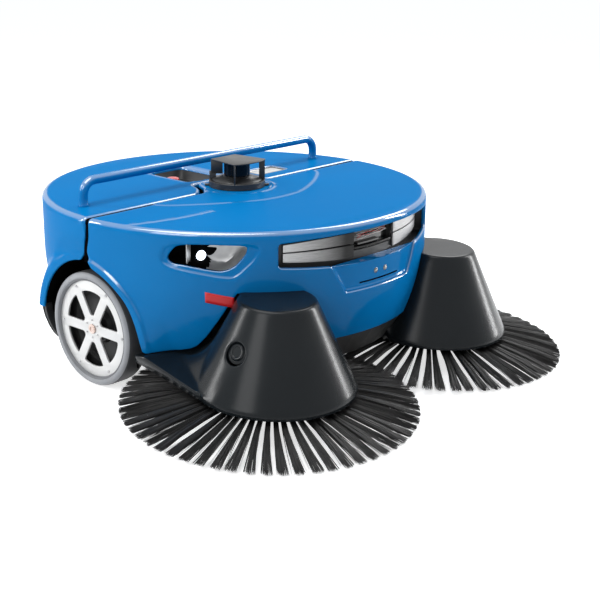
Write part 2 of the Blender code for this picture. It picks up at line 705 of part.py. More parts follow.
liner_limit = cylinder("liner_limit", BODY_RADIUS - 0.004, -0.1, 0.4, steps=BODY_STEPS)
for side_name, side in SIDES:
    outer = ARCH_RADIUS - 0.0008
    inner = outer - LINER_WALL
    liner = turned(f"arch_liner_{side_name}",
                   [(outer, BODY_RADIUS - 0.012), (outer, WELL_WALL_X), (0.030, WELL_WALL_X),
                    (0.030, WELL_WALL_X + LINER_WALL), (inner, WELL_WALL_X + LINER_WALL),
                    (inner, BODY_RADIUS - 0.012)], black_plastic, 32, closed=True)
    lay_on_x(liner, side, (0, WHEEL_Y, WHEEL_RADIUS))
    keep(liner, liner_limit)
    below = prism(f"liner_hem_{side_name}", [(-0.2, UNDER), (-0.2, 0.0994), (-0.05, 0.0994),
                                             (-0.02, 0.070), (0.3, 0.070), (0.3, UNDER)],
                  -REACH, REACH, frame=TO_X)
    cut(liner, below)


# ---------------------------------------------------------------- drive wheels
def make_wheel(side_name, side):
    """Tyre, disc wheel and motor with its axle; local Z of each runs outwards."""
    centre = (0, WHEEL_Y, WHEEL_RADIUS)
    face = WHEEL_FACE
    inner_face = face - TYRE_WIDTH
    tyre = turned(f"tyre_{side_name}",
                  [(RIM_RADIUS + FIT, face), (WHEEL_RADIUS - 0.007, face),
                   (WHEEL_RADIUS - 0.002, face - 0.003), (WHEEL_RADIUS, face - 0.010),
                   (WHEEL_RADIUS, inner_face + 0.010), (WHEEL_RADIUS - 0.007, inner_face),
                   (RIM_RADIUS + FIT, inner_face)], tyre_rubber, 36, closed=True)
    lay_on_x(tyre, side, centre)

    plate_out = face - DISC_RECESS
    plate_in = plate_out - DISC_THICKNESS
    bore = AXLE_RADIUS + RUN
    wheel = turned(f"wheel_disc_{side_name}",
                   [(RIM_RADIUS, face - 0.001), (RIM_RADIUS, inner_face + 0.002),
                    (RIM_RADIUS - 0.003, inner_face + 0.002), (RIM_RADIUS - 0.003, plate_in),
                    (0.024, plate_in), (bore, plate_in - 0.014), (bore, plate_out),
                    (RIM_RADIUS - 0.003, plate_out), (RIM_RADIUS - 0.003, face - 0.001)],
                   disc_metal, 36, closed=True)
    lay_on_x(wheel, side, centre)
    windows = wheel_windows(f"wheel_windows_{side_name}", plate_in - 0.003, plate_out + 0.003)
    lay_on_x(windows, side, centre)
    cut(wheel, windows)

    flange = face - 0.048
    motor_end = WELL_WALL_X - 0.0443
    motor = turned(f"drive_motor_{side_name}",
                   [(0, face - 0.004), (AXLE_RADIUS, face - 0.004), (AXLE_RADIUS, flange),
                    (0.028, flange), (0.028, WELL_WALL_X - FIT), (0.034, WELL_WALL_X - FIT),
                    (0.034, motor_end), (0, motor_end)], zinc_steel, 24)
    lay_on_x(motor, side, centre)
    foot_low = FLOOR_LOW + FLOOR_THICKNESS + FIT
    near, far = sorted((side * (motor_end + 0.004), side * (motor_end + 0.024)))
    foot = box(f"motor_foot_{side_name}", (near, WHEEL_Y - 0.028, foot_low),
               (far, WHEEL_Y + 0.028, WHEEL_RADIUS - 0.010))
    join(motor, foot)


def wheel_windows(name, low, high):
    """Six rounded windows between the spokes of the disc."""
    inner, outer, half_spoke = 0.030, RIM_RADIUS - 0.016, 0.0085
    bm = bmesh.new()
    for k in range(6):
        centre = pi / 3 * k + pi / 6
        half = pi / 6
        outline = []
        for t in (-1, 0, 1):
            angle = centre + t * (half - half_spoke / outer * 1.25)
            outline.append((outer * cos(angle), outer * sin(angle)))
        outline.append(((inner + 0.004) * cos(centre + 0.16), (inner + 0.004) * sin(centre + 0.16)))
        outline.append(((inner + 0.004) * cos(centre - 0.16), (inner + 0.004) * sin(centre - 0.16)))
        face = bm.faces.new([bm.verts.new((x, y, low)) for x, y in outline])
        grown = bmesh.ops.extrude_face_region(bm, geom=[face])
        top = [v for v in grown["geom"] if isinstance(v, bmesh.types.BMVert)]
        bmesh.ops.translate(bm, vec=(0, 0, high - low), verts=top)
    upright = [e for e in bm.edges if abs(e.verts[0].co.z - e.verts[1].co.z) > 1e-4
               and e.calc_face_angle(0) > 0.6]
    bmesh.ops.bevel(bm, geom=upright, offset=0.004, segments=1, profile=0.5, affect="EDGES",
                    material=-1)
    return from_bmesh(name, bm, None)


for side_name, side in SIDES:
    make_wheel(side_name, side)


# ---------------------------------------------------------------- side brushes and their covers
def crown_height(radius):
    """Height of the crown's underside above the tip plane at a radius."""
    share = max(0.0, radius - TUFT_ROOT_RADIUS) / (BRUSH_RADIUS - TUFT_ROOT_RADIUS)
    return CROWN_ROOT_HEIGHT * (1 - share)


def make_crown(side_name, side):
    """Ring with bristle tufts; each tuft of one crown meets a gap of the other."""
    bm = bmesh.new()
    bmesh.ops.create_circle(bm, segments=2 * TUFTS, radius=TUFT_ROOT_RADIUS)
    rim_edges = bm.edges[:]
    hub = bmesh.ops.extrude_edge_only(bm, edges=rim_edges)
    hub_verts = [v for v in hub["geom"] if isinstance(v, bmesh.types.BMVert)]
    shrink = CROWN_BORE / TUFT_ROOT_RADIUS
    bmesh.ops.scale(bm, vec=(shrink, shrink, 1), verts=hub_verts)
    for k, edge in enumerate(sorted(rim_edges, key=edge_angle)):
        if k % 2:
            continue
        across = (edge.verts[0].co - edge.verts[1].co).normalized()
        middle = (edge.verts[0].co + edge.verts[1].co) / 2
        tip = middle.normalized() * BRUSH_RADIUS
        grown = bmesh.ops.extrude_edge_only(bm, edges=[edge])
        for vert in (g for g in grown["geom"] if isinstance(g, bmesh.types.BMVert)):
            along = 1 if (vert.co - middle).dot(across) > 0 else -1
            vert.co = tip + across * along * TUFT_WIDTH / 2
    for vert in bm.verts:
        vert.co.z = crown_height(vert.co.xy.length)
    bmesh.ops.recalc_face_normals(bm, faces=bm.faces)
    if bm.faces[:][0].normal.z < 0:
        bmesh.ops.reverse_faces(bm, faces=bm.faces)
    mesh = bpy.data.meshes.new(f"brush_crown_{side_name}")
    bm.to_mesh(mesh)
    bm.free()
    crown = add_object(f"brush_crown_{side_name}", mesh, bristle_nylon, brush_axes[side_name])
    solid = crown.modifiers.new("thickness", "SOLIDIFY")
    solid.thickness = CROWN_THICKNESS
    solid.offset = 1
    return crown


def edge_angle(edge):
    middle = (edge.verts[0].co + edge.verts[1].co) / 2
    return Vector((1, 0)).angle_signed(middle.xy, 0.0) * -1 % (2 * pi)


def make_side_brush(side_name, side):
    axis = brush_axes[side_name]
    make_crown(side_name, side)
    seat = CROWN_ROOT_HEIGHT + CROWN_THICKNESS + FIT
    bore = BRUSH_SHAFT + RUN
    turned(f"brush_plate_{side_name}",
           [(bore, seat + PLATE_THICKNESS + 0.010), (0.022, seat + PLATE_THICKNESS + 0.010),
            (0.026, seat + PLATE_THICKNESS), (PLATE_RADIUS, seat + PLATE_THICKNESS - 0.004),
            (PLATE_RADIUS, seat), (CROWN_BORE - FIT * 2, seat),
            (CROWN_BORE - FIT * 2, CROWN_ROOT_HEIGHT - 0.006), (bore, CROWN_ROOT_HEIGHT - 0.006)],
           black_plastic, 28, closed=True, parent=axis)
    roof = COVER_BASE + COVER_HEIGHT - COVER_WALL - FIT
    turned(f"brush_motor_{side_name}",
           [(0, roof), (0.044, roof), (0.044, roof - 0.006), (0.036, roof - 0.006),
            (0.036, roof - 0.078), (0.028, roof - 0.080), (0.028, roof - 0.104),
            (BRUSH_SHAFT, roof - 0.104), (BRUSH_SHAFT, CROWN_ROOT_HEIGHT - 0.008),
            (0, CROWN_ROOT_HEIGHT - 0.008)], zinc_steel, 20, parent=axis)


def make_cover(side_name, side):
    """Conical cover with its arm, open below, and the round cap in its flank."""
    axis = brush_axes[side_name]
    cover = cover_solid(f"brush_cover_{side_name}", side_name, side, 0, 0, cover_plastic)
    arm = arm_solid(f"arm_{side_name}", side_name, side, 0.0006, 0, [ARM_UNDERSIDE])
    join(cover, arm)
    arm_hollow = arm_solid(f"arm_hollow_{side_name}", side_name, side, 0.0046, COVER_WALL, [])
    cone_hollow = cover_solid(f"cone_hollow_{side_name}", side_name, side, -COVER_WALL, 0.03,
                              steps=27)
    flank = atan((COVER_RIM_RADIUS - COVER_TOP_RADIUS) / COVER_HEIGHT)
    turn = radians(-90 + CAP_TURN)
    radius = cover_radius(CAP_HEIGHT)
    centre = Vector((side * radius * cos(turn), radius * sin(turn), COVER_BASE + CAP_HEIGHT))
    centre += Vector((-side * COVER_INWARD, -COVER_FORWARD, 0))
    heading = turn if side > 0 else pi - turn
    pose = Matrix.Translation(centre) @ Matrix.Rotation(heading, 4, "Z")
    pose = pose @ Matrix.Rotation(pi / 2 - flank, 4, "Y")
    hole = cylinder(f"cap_hole_{side_name}", CAP_RADIUS, -0.02, 0.02, steps=20, parent=axis)
    hole.matrix_local = pose
    cut(cover, arm_hollow, cone_hollow, hole)
    depth = COVER_WALL + CAP_RADIUS ** 2 / 2 / radius + 0.0032
    plug = CAP_RADIUS - FIT * 2
    cap = turned(f"cover_cap_{side_name}",
                 [(0, -0.005), (plug - 0.006, -0.005), (plug - 0.003, -0.0035), (plug, -0.0035),
                  (plug, -depth), (CAP_RADIUS + 0.003, -depth),
                  (CAP_RADIUS + 0.003, -depth - 0.002), (0, -depth - 0.002)],
                 cover_plastic, 20, parent=axis)
    cap.matrix_local = pose


for side_name, side in SIDES:
    make_side_brush(side_name, side)
    make_cover(side_name, side)


# ---------------------------------------------------------------- roller brush and its belt drive
def make_roller():
    """Core with helical bristle strips, shaft and pulley, turned by the belt."""
    outline = []
    for k in range(ROLLER_STRIPS):
        for turn, radius in ((-0.09, ROLLER_ROOT), (-0.06, ROLLER_RADIUS),
                             (0.06, ROLLER_RADIUS), (0.09, ROLLER_ROOT)):
            angle = 2 * pi / ROLLER_STRIPS * (k + turn)
            outline.append((radius * cos(angle), radius * sin(angle)))
    bm = bmesh.new()
    low = -ROLLER_HALF_LENGTH
    face = bm.faces.new([bm.verts.new((x, y, low)) for x, y in outline])
    steps = 8
    length = 2 * ROLLER_HALF_LENGTH
    for _ in range(steps):
        grown = bmesh.ops.extrude_face_region(bm, geom=[face], use_keep_orig=False)
        verts = [v for v in grown["geom"] if isinstance(v, bmesh.types.BMVert)]
        next_face = next(f for f in grown["geom"] if isinstance(f, bmesh.types.BMFace))
        if face.is_valid and face is not next_face and _ > 0:
            bmesh.ops.delete(bm, geom=[face], context="FACES_ONLY")
        bmesh.ops.translate(bm, vec=(0, 0, length / steps), verts=verts)
        bmesh.ops.rotate(bm, cent=(0, 0, 0), verts=verts,
                         matrix=Matrix.Rotation(ROLLER_TWIST / steps, 3, "Z"))
        face = next_face
    roller = from_bmesh("roller_brush", bm, bristle_nylon)
    lay_on_x(roller, 1, (0, ROLLER_Y, ROLLER_Z))
    shaft = lay_on_x(cylinder("roller_shaft", ROLLER_SHAFT, PULLEY_X - 0.007, 0.262, steps=24),
                     1, (0, ROLLER_Y, ROLLER_Z))
    pulley = lay_on_x(cylinder("roller_pulley", PULLEY_RADIUS, PULLEY_X - PULLEY_WIDTH / 2,
                               PULLEY_X + PULLEY_WIDTH / 2, steps=24),
                      1, (0, ROLLER_Y, ROLLER_Z))
    join(roller, shaft, pulley)


def make_roller_drive():
    motor_centre = (0, ROLLER_MOTOR_Y, ROLLER_MOTOR_Z)
    motor = lay_on_x(turned("roller_motor",
                            [(0, -0.140), (ROLLER_MOTOR_RADIUS, -0.140),
                             (ROLLER_MOTOR_RADIUS, -0.2485), (0.005, -0.2485),
                             (0.005, PULLEY_X - 0.007), (0, PULLEY_X - 0.007)],
                            zinc_steel, 24), 1, motor_centre)
    foot_low = FLOOR_LOW + FLOOR_THICKNESS + FIT
    foot = box("roller_motor_foot", (-0.235, ROLLER_MOTOR_Y - 0.020, foot_low),
               (-0.155, ROLLER_MOTOR_Y + 0.020, ROLLER_MOTOR_Z))
    join(motor, foot)
    lay_on_x(ring("motor_pulley", PULLEY_RADIUS, 0.005 + RUN, PULLEY_X - PULLEY_WIDTH / 2,
                  PULLEY_X + PULLEY_WIDTH / 2, zinc_steel, 24), 1, motor_centre)

    start = Vector((ROLLER_Y, ROLLER_Z))
    end = Vector((ROLLER_MOTOR_Y, ROLLER_MOTOR_Z))
    along = (end - start).normalized()
    heading = Vector((1, 0)).angle_signed(along) * -1

    def loop(radius):
        points = []
        for centre, first in ((end, heading - pi / 2), (start, heading + pi / 2)):
            for i in range(10):
                angle = first + pi * i / 9
                points.append((centre.x + radius * cos(angle), centre.y + radius * sin(angle)))
        return points

    inner = PULLEY_RADIUS + RUN
    belt = prism("drive_belt", loop(inner + BELT_THICKNESS), PULLEY_X - 0.004, PULLEY_X + 0.004,
                 black_plastic, frame=TO_X)
    cut(belt, prism("belt_inside", loop(inner), PULLEY_X - 0.01, PULLEY_X + 0.01, frame=TO_X))


make_roller()
make_roller_drive()


# ---------------------------------------------------------------- hopper, filter, fan, batteries
def make_inside():
    floor = FLOOR_LOW + FLOOR_THICKNESS + FIT
    front = ROLLER_Y + TUNNEL_RADIUS + TUNNEL_WALL + 0.0006
    hopper = box("hopper", (-HOPPER_HALF_WIDTH, front, floor),
                 (HOPPER_HALF_WIDTH, HOPPER_BACK, HOPPER_TOP), cover_plastic)
    inside = box("hopper_inside", (-HOPPER_HALF_WIDTH + HOPPER_WALL, front + HOPPER_WALL,
                                   floor + HOPPER_WALL),
                 (HOPPER_HALF_WIDTH - HOPPER_WALL, HOPPER_BACK - HOPPER_WALL, HOPPER_TOP + 0.02))
    mouth = box("hopper_mouth", (-MOUTH_HALF_WIDTH, front - 0.01, MOUTH_LOW),
                (MOUTH_HALF_WIDTH, front + 0.01, MOUTH_HIGH))
    cut(hopper, inside, mouth)

    outline = [(-HOPPER_HALF_WIDTH, HOPPER_TOP + FIT), (HOPPER_HALF_WIDTH, HOPPER_TOP + FIT)]
    pitch = 2 * (HOPPER_HALF_WIDTH - 0.010) / PLEATS
    ridge = HOPPER_TOP + FILTER_HEIGHT
    outline.append((HOPPER_HALF_WIDTH, ridge))
    for k in range(PLEATS):
        right = HOPPER_HALF_WIDTH - 0.010 - pitch * k
        outline += [(right, ridge), (right - pitch / 2, HOPPER_TOP + 0.006)]
    outline += [(-HOPPER_HALF_WIDTH + 0.010, ridge), (-HOPPER_HALF_WIDTH, ridge)]
    prism("hopper_filter", outline, front + 0.001, HOPPER_BACK - 0.001, filter_paper, frame=TO_Y)

    for side_name, side in SIDES:
        width, depth, height = BATTERY_SIZE
        near, far = sorted((side * BATTERY_GAP, side * (BATTERY_GAP + width)))
        y = HOPPER_BACK + 0.006
        box(f"battery_{side_name}", (near, y, floor), (far, y + depth, floor + height),
            satin_metal, edge=0.003)

    box("control_box", (0.100, -0.130, floor), (0.225, -0.042, 0.145), black_plastic, edge=0.003)

    spiral = []
    for k in range(25):
        turn = 2 * pi * k / 24
        radius = 0.052 + 0.028 * turn / (2 * pi)
        spiral.append((radius * cos(turn), -0.185 + radius * sin(turn)))
    spiral.append((0.080, -0.130))
    spiral.append((0.052, -0.130))
    fan = prism("suction_fan", spiral, floor, floor + 0.055, black_plastic)
    inlet = ring("fan_inlet", 0.034, 0.0275, floor + 0.050, floor + 0.075, steps=24)
    inlet.location = (0, -0.185, 0)
    eye = cylinder("fan_eye", 0.028, floor + 0.030, floor + 0.09, steps=24)
    eye.location = (0, -0.185, 0)
    join(fan, inlet)
    cut(fan, eye)


make_inside()


# ---------------------------------------------------------------- front sensors, dock, headlights
def make_sensors():
    back = SLOT_DEPTH_RADIUS - 0.0295
    clear = BODY_RADIUS + 0.030
    front = (BODY_RADIUS - HOOD_WALL) * cos(pi / BODY_STEPS) - FIT
    housing = slot_block("sensor_housing", back, front, 0.0042, SLOT_HALF_ANGLE + 2.5,
                         black_plastic)
    cavity = slot_block("housing_cavity", SLOT_DEPTH_RADIUS, clear, 0, SLOT_HALF_ANGLE)
    pocket = swept("camera_pocket", block_profile(CAMERA_BACK_RADIUS, clear, CAMERA_LOW,
                                                   CAMERA_HIGH),
                   -CAMERA_HALF_ANGLE, CAMERA_HALF_ANGLE, 6)
    cut(housing, cavity, pocket)

    gap = 0.0012
    middle = (SLOT_LOW + SLOT_HIGH) / 2 + 0.001
    window = swept("band_window", block_profile(CAMERA_BACK_RADIUS, clear, CAMERA_LOW - 0.001,
                                                CAMERA_HIGH + 0.001),
                   -CAMERA_HALF_ANGLE - 0.5, CAMERA_HALF_ANGLE + 0.5, 6)
    for name, low, high, drop in (("sensor_band_lower", SLOT_LOW + 0.005, middle - gap, 0),
                                  ("sensor_band_upper", middle + gap, SLOT_HIGH - 0.003, 1)):
        def bow(azimuth, z, low=low, high=high):
            share = (azimuth / SLOT_HALF_ANGLE) ** 2
            height = (z - SLOT_LOW) / (SLOT_HIGH - SLOT_LOW)
            return z + share * (SLOT_LOW_RISE * (1 - height) - SLOT_HIGH_DROP * height)

        band = swept(name, block_profile(SLOT_DEPTH_RADIUS + FIT, SLOT_DEPTH_RADIUS + 0.005,
                                         low, high), -32.6, 32.6, 16, satin_metal, bow)
        cut(band, window)

    edge = 0.0005
    camera = swept("camera_module",
                   block_profile(CAMERA_BACK_RADIUS + FIT, CAMERA_BACK_RADIUS + 0.014,
                                 CAMERA_LOW + edge, CAMERA_HIGH - edge),
                   -CAMERA_HALF_ANGLE + 0.1, CAMERA_HALF_ANGLE - 0.1, 6, gloss_black)
    lenses = []
    for x in (-0.030, 0.030):
        lens = cylinder(f"camera_lens_{'left' if x < 0 else 'right'}", 0.009,
                        CAMERA_BACK_RADIUS + 0.008, CAMERA_BACK_RADIUS + 0.0185,
                        steps=24)
        lens.location = (x, 0, (CAMERA_LOW + CAMERA_HIGH) / 2)
        lens.rotation_euler = (pi / 2, 0, 0)
        lenses.append(lens)
    join(camera, *lenses)

    low = DOCK_LOW - 0.006
    tucked = front - (BODY_RADIUS - wall_radius(low)) - 0.0005
    dish = swept("dock_plate",
                 [(DOCK_FLOOR_RADIUS - 0.006, low), (tucked, low), (front, TUCK_START + 0.001),
                  (front, 0.2595), (DOCK_FLOOR_RADIUS - 0.006, 0.2595)], -21, 21, 9, blue_paint)
    hollow = prism("dock_hollow", dock_outline, -BODY_RADIUS - 0.015, -BODY_RADIUS + 0.050,
                   corner=0.007,
                   taper=DOCK_SLOPE * 1.6, frame=TO_Y)
    cut(hollow, cylinder("dock_floor", DOCK_FLOOR_RADIUS, 0.1, 0.4, steps=50))
    slit = swept("dock_slit", block_profile(DOCK_FLOOR_RADIUS - 0.02, clear, 0.2335, 0.2365),
                 -8.5, 8.5, 6)
    holes = []
    for side_name, side in SIDES:
        hole = cylinder(f"contact_hole_{side_name}", CONTACT_RADIUS + FIT,
                        DOCK_FLOOR_RADIUS - 0.02, clear, steps=20)
        hole.location = (side * CONTACT_X, 0, CONTACT_Z)
        hole.rotation_euler = (pi / 2, 0, 0)
        holes.append(hole)
        contact = turned(f"dock_contact_{side_name}",
                         [(0, DOCK_FLOOR_RADIUS + 0.002), (CONTACT_RADIUS - 0.001,
                                                          DOCK_FLOOR_RADIUS + 0.002),
                          (CONTACT_RADIUS, DOCK_FLOOR_RADIUS + 0.001), (CONTACT_RADIUS, DOCK_FLOOR_RADIUS - 0.011),
                          (0, DOCK_FLOOR_RADIUS - 0.011)], contact_brass, 20)
        contact.location = (side * CONTACT_X, 0, CONTACT_Z)
        contact.rotation_euler = (pi / 2, 0, 0)
    cut(dish, hollow, slit, *holes)


def make_headlight(side_name, side):
    front = (BODY_RADIUS - HOOD_WALL) * cos(pi / BODY_STEPS) - FIT
    angle = side * LAMP_ANGLE
    bowl = swept(f"headlight_bowl_{side_name}",
                 block_profile(LAMP_DEPTH_RADIUS - 0.008, front, 0.2625, 0.3275),
                 angle - 13.4, angle + 13.4, 10, gloss_black)
    cavity = lamp_prism(f"lamp_cavity_{side_name}", side, LAMP_DEPTH_RADIUS, BODY_RADIUS + 0.03,
                        0.0008)
    cut(bowl, cavity)
    lamp = turned(f"headlight_lamp_{side_name}",
                  [(0, LAMP_DEPTH_RADIUS + 0.026), (0.006, LAMP_DEPTH_RADIUS + 0.0245),
                   (0.010, LAMP_DEPTH_RADIUS + 0.020), (0.0125, LAMP_DEPTH_RADIUS + 0.016),
                   (0.0125, LAMP_DEPTH_RADIUS + FIT), (0, LAMP_DEPTH_RADIUS + FIT)],
                  lamp_lens, 20)
    lamp.location = (0, 0, LAMP_Z)
    lamp.rotation_euler = (pi / 2, 0, radians(angle))


make_sensors()
for side_name, side in SIDES:
    make_headlight(side_name, side)


# ---------------------------------------------------------------- scanner on the tongue
def make_scanner():
    low = BODY_TOP + FIT
    band_top = low + SCANNER_BAND
    cone_radius = SCANNER_RADIUS - 0.0065

    def base_profile(grow):
        return [(0, SCANNER_CONE_TOP + grow), (0.031 + grow, SCANNER_CONE_TOP + grow),
                (cone_radius + grow, band_top + grow), (cone_radius + grow, low - grow * 10),
                (0, low - grow * 10)]

    base = turned("scanner_base", base_profile(0), black_plastic, 30)
    window = turned("scanner_window",
                    [(0, GUARD_TOP - GUARD_PLATE - 0.0008), (WINDOW_RADIUS - 0.001,
                                                            GUARD_TOP - GUARD_PLATE - 0.0008),
                     (WINDOW_RADIUS, GUARD_TOP - GUARD_PLATE - 0.002),
                     (WINDOW_RADIUS, SCANNER_CONE_TOP + FIT), (0, SCANNER_CONE_TOP + FIT)],
                    gloss_black, 24)
    guard = ring("scanner_guard", SCANNER_RADIUS, SCANNER_RADIUS - 0.006, low, band_top,
                 black_plastic, 30)
    plate_low = GUARD_TOP - GUARD_PLATE
    outline = [(-0.031, 0.037), (-0.046, -0.037)]
    for k in range(1, 6):
        turn = pi * k / 6
        outline.append((-0.046 * cos(turn), -0.037 - 0.012 * sin(turn)))
    outline += [(0.046, -0.037), (0.031, 0.037)]
    tools = [prism("guard_plate", outline, plate_low, GUARD_TOP)]
    for side_name, side in SIDES:
        blade = box(f"front_blade_{side_name}", (0.0465, -BLADE / 2, low + 0.002),
                    (0.0590, BLADE / 2, GUARD_TOP - 0.001))
        blade.rotation_euler = (0, 0, -pi / 2 + side * radians(50))
        blade.location = (0, 0, 0)
        post = box(f"rear_blade_{side_name}", (0.0280, -BLADE / 2, SCANNER_CONE_TOP + 0.002),
                   (0.0480, BLADE / 2, GUARD_TOP - 0.001))
        post.rotation_euler = (0, 0, pi / 2 - side * radians(40))
        root = box(f"rear_root_{side_name}", (0.0440, -BLADE / 2, low + 0.002),
                   (0.0580, BLADE / 2, SCANNER_CONE_TOP + 0.008))
        root.rotation_euler = post.rotation_euler
        ear = prism(f"guard_ear_{side_name}",
                    [(0.055, -0.007), (0.068, -0.004), (0.068, 0.004), (0.055, 0.007)],
                    low, low + 0.003)
        ear.rotation_euler = (0, 0, (0 if side > 0 else pi) - radians(45))
        tools += [blade, post, root, ear]
    join(guard, *tools)
    clearance = turned("base_clearance", base_profile(FIT), None, 30)
    cut(guard, clearance)
    for made in [base, window, guard, clearance] + tools:
        made.location = (0, SCANNER_Y, 0)


make_scanner()


# ---------------------------------------------------------------- rear hood fittings
def make_handle():
    """Bent tube standing on the rear hood."""
    foot = BODY_TOP + FIT
    points = [(-HANDLE_HALF_WIDTH, foot), (-HANDLE_HALF_WIDTH, HANDLE_HEIGHT - HANDLE_BEND)]
    for side, first in ((-1, pi), (1, pi / 2)):
        centre_x = side * (HANDLE_HALF_WIDTH - HANDLE_BEND)
        for i in range(1, 6):
            angle = first - pi / 2 * i / 6
            points.append((centre_x + HANDLE_BEND * cos(angle),
                           HANDLE_HEIGHT - HANDLE_BEND + HANDLE_BEND * sin(angle)))
        if side < 0:
            points.append((-HANDLE_HALF_WIDTH + HANDLE_BEND, HANDLE_HEIGHT))
            points.append((HANDLE_HALF_WIDTH - HANDLE_BEND, HANDLE_HEIGHT))
    points += [(HANDLE_HALF_WIDTH, HANDLE_HEIGHT - HANDLE_BEND), (HANDLE_HALF_WIDTH, foot)]
    curve = bpy.data.curves.new("handle_bar", "CURVE")
    curve.dimensions = "3D"
    spline = curve.splines.new("POLY")
    spline.points.add(len(points) - 1)
    for point, (x, z) in zip(spline.points, points):
        point.co = (x, 0, z, 1)
    curve.bevel_depth = HANDLE_RADIUS
    curve.bevel_resolution = 3
    curve.use_fill_caps = True
    curve.materials.append(blue_paint)
    bar = bpy.data.objects.new("handle_bar", curve)
    bar.location = (0, HANDLE_Y, 0)
    bar.parent = body_centre
    parts.objects.link(bar)


def make_recess():
    under = BODY_TOP - HOOD_WALL - FIT
    tray = prism("recess_tray", rounded_outline(RECESS_CENTRE, RECESS_SIZE, 0.008),
                 RECESS_FLOOR - 0.004, under, black_plastic, corner=RECESS_CORNER + 0.008,
                 segments=6)
    cut(tray, prism("tray_inside", rounded_outline(RECESS_CENTRE, RECESS_SIZE, -0.0005),
                    RECESS_FLOOR, BODY_TOP + 0.016, corner=RECESS_CORNER, segments=6))
    collar_top = RECESS_FLOOR + 0.0062
    collar = ring("stop_collar", 0.017, 0.0085, RECESS_FLOOR + FIT, collar_top, gloss_black, 24)
    head = collar_top + STOP_TRAVEL + 0.0008
    button = turned("stop_button",
                    [(0, head + 0.010), (0.011, head + 0.009), (0.0145, head + 0.006),
                     (0.0145, head), (0.0081, head), (0.0081, RECESS_FLOOR + STOP_TRAVEL + 0.0004),
                     (0, RECESS_FLOOR + STOP_TRAVEL + 0.0004)], stop_red, 20)
    for made in (collar, button):
        made.location = (*STOP_CENTRE, 0)

    flange = prism("display_flange", rounded_outline(DISPLAY_CENTRE, DISPLAY_SIZE, 0.004),
                   under - 0.004, under, corner=0.014)
    panel = prism("display_panel", rounded_outline(DISPLAY_CENTRE, DISPLAY_SIZE, -FIT * 2),
                  under - 0.002, BODY_TOP - 0.0015, gloss_black, corner=0.012)
    join(panel, flange)


def make_hinges():
    """Two hinges low on the rear: bracket with its pin below, leaf with two knuckles above."""
    for side_name, side in SIDES:
        def span(low, high):
            return sorted((side * (HINGE_X + low), side * (HINGE_X + high)))

        axis = (0, HINGE_Y, HINGE_Z)
        low, high = span(-0.0050, 0.0050)
        bracket = lay_on_x(cylinder(f"hinge_bracket_{side_name}", KNUCKLE_RADIUS, low, high,
                                    zinc_steel, 12), 1, axis)
        low, high = span(-0.0150, 0.0150)
        pin = lay_on_x(cylinder(f"hinge_pin_{side_name}", HINGE_PIN, low, high, steps=10), 1, axis)
        low, high = span(-0.0050, 0.0050)
        arm = box(f"bracket_arm_{side_name}", (low, HINGE_Y - 0.0085, HINGE_Z - 0.0030),
                  (high, HINGE_Y - 0.001, HINGE_Z - 0.0010))
        turn = side * 4.5
        foot = swept(f"bracket_foot_{side_name}",
                     [(HINGE_Y - 0.0095, 0.1125), (HINGE_Y - 0.0060, 0.1125),
                      (HINGE_Y - 0.0040, HINGE_Z - 0.0014),
                      (HINGE_Y - 0.0075, HINGE_Z - 0.0014)], 180 - turn - 2.2, 180 - turn + 2.2, 2)
        join(bracket, pin, arm, foot)

        low, high = span(-0.0152, -0.0060)
        leaf = lay_on_x(cylinder(f"hinge_leaf_{side_name}", KNUCKLE_RADIUS, low, high,
                                 zinc_steel, 12), 1, axis)
        low, high = span(0.0060, 0.0152)
        second = lay_on_x(cylinder(f"second_knuckle_{side_name}", KNUCKLE_RADIUS, low, high,
                                   steps=12), 1, axis)
        plates = []
        for index, (near, far) in enumerate(((-0.0152, -0.0060), (0.0060, 0.0152))):
            low, high = span(near, far)
            plates.append(box(f"leaf_arm_{side_name}_{index}",
                              (low, HINGE_Y - 0.0060, HINGE_Z + 0.0012),
                              (high, HINGE_Y - 0.001, HINGE_Z + 0.0042)))
        low, high = span(-0.0152, 0.0152)
        outside = [(wall_radius(z) - HOOD_WALL - 0.0018, z) for z in (0.133, 0.150, 0.168)]
        inside = [(r - 0.0028, z) for r, z in reversed(outside)]
        plates.append(swept(f"leaf_plate_{side_name}", outside + inside,
                            180 - turn - 2.2, 180 - turn + 2.2, 2))
        bore = lay_on_x(cylinder(f"leaf_bore_{side_name}", HINGE_PIN + RUN, low - 0.01,
                                 high + 0.01, steps=10), 1, axis)
        relief = lay_on_x(cylinder(f"leaf_relief_{side_name}", KNUCKLE_RADIUS + 0.0008,
                                   *span(-0.0056, 0.0056), steps=12), 1, axis)
        join(leaf, second, *plates)
        cut(leaf, bore, relief)


make_handle()
make_recess()
make_hinges()


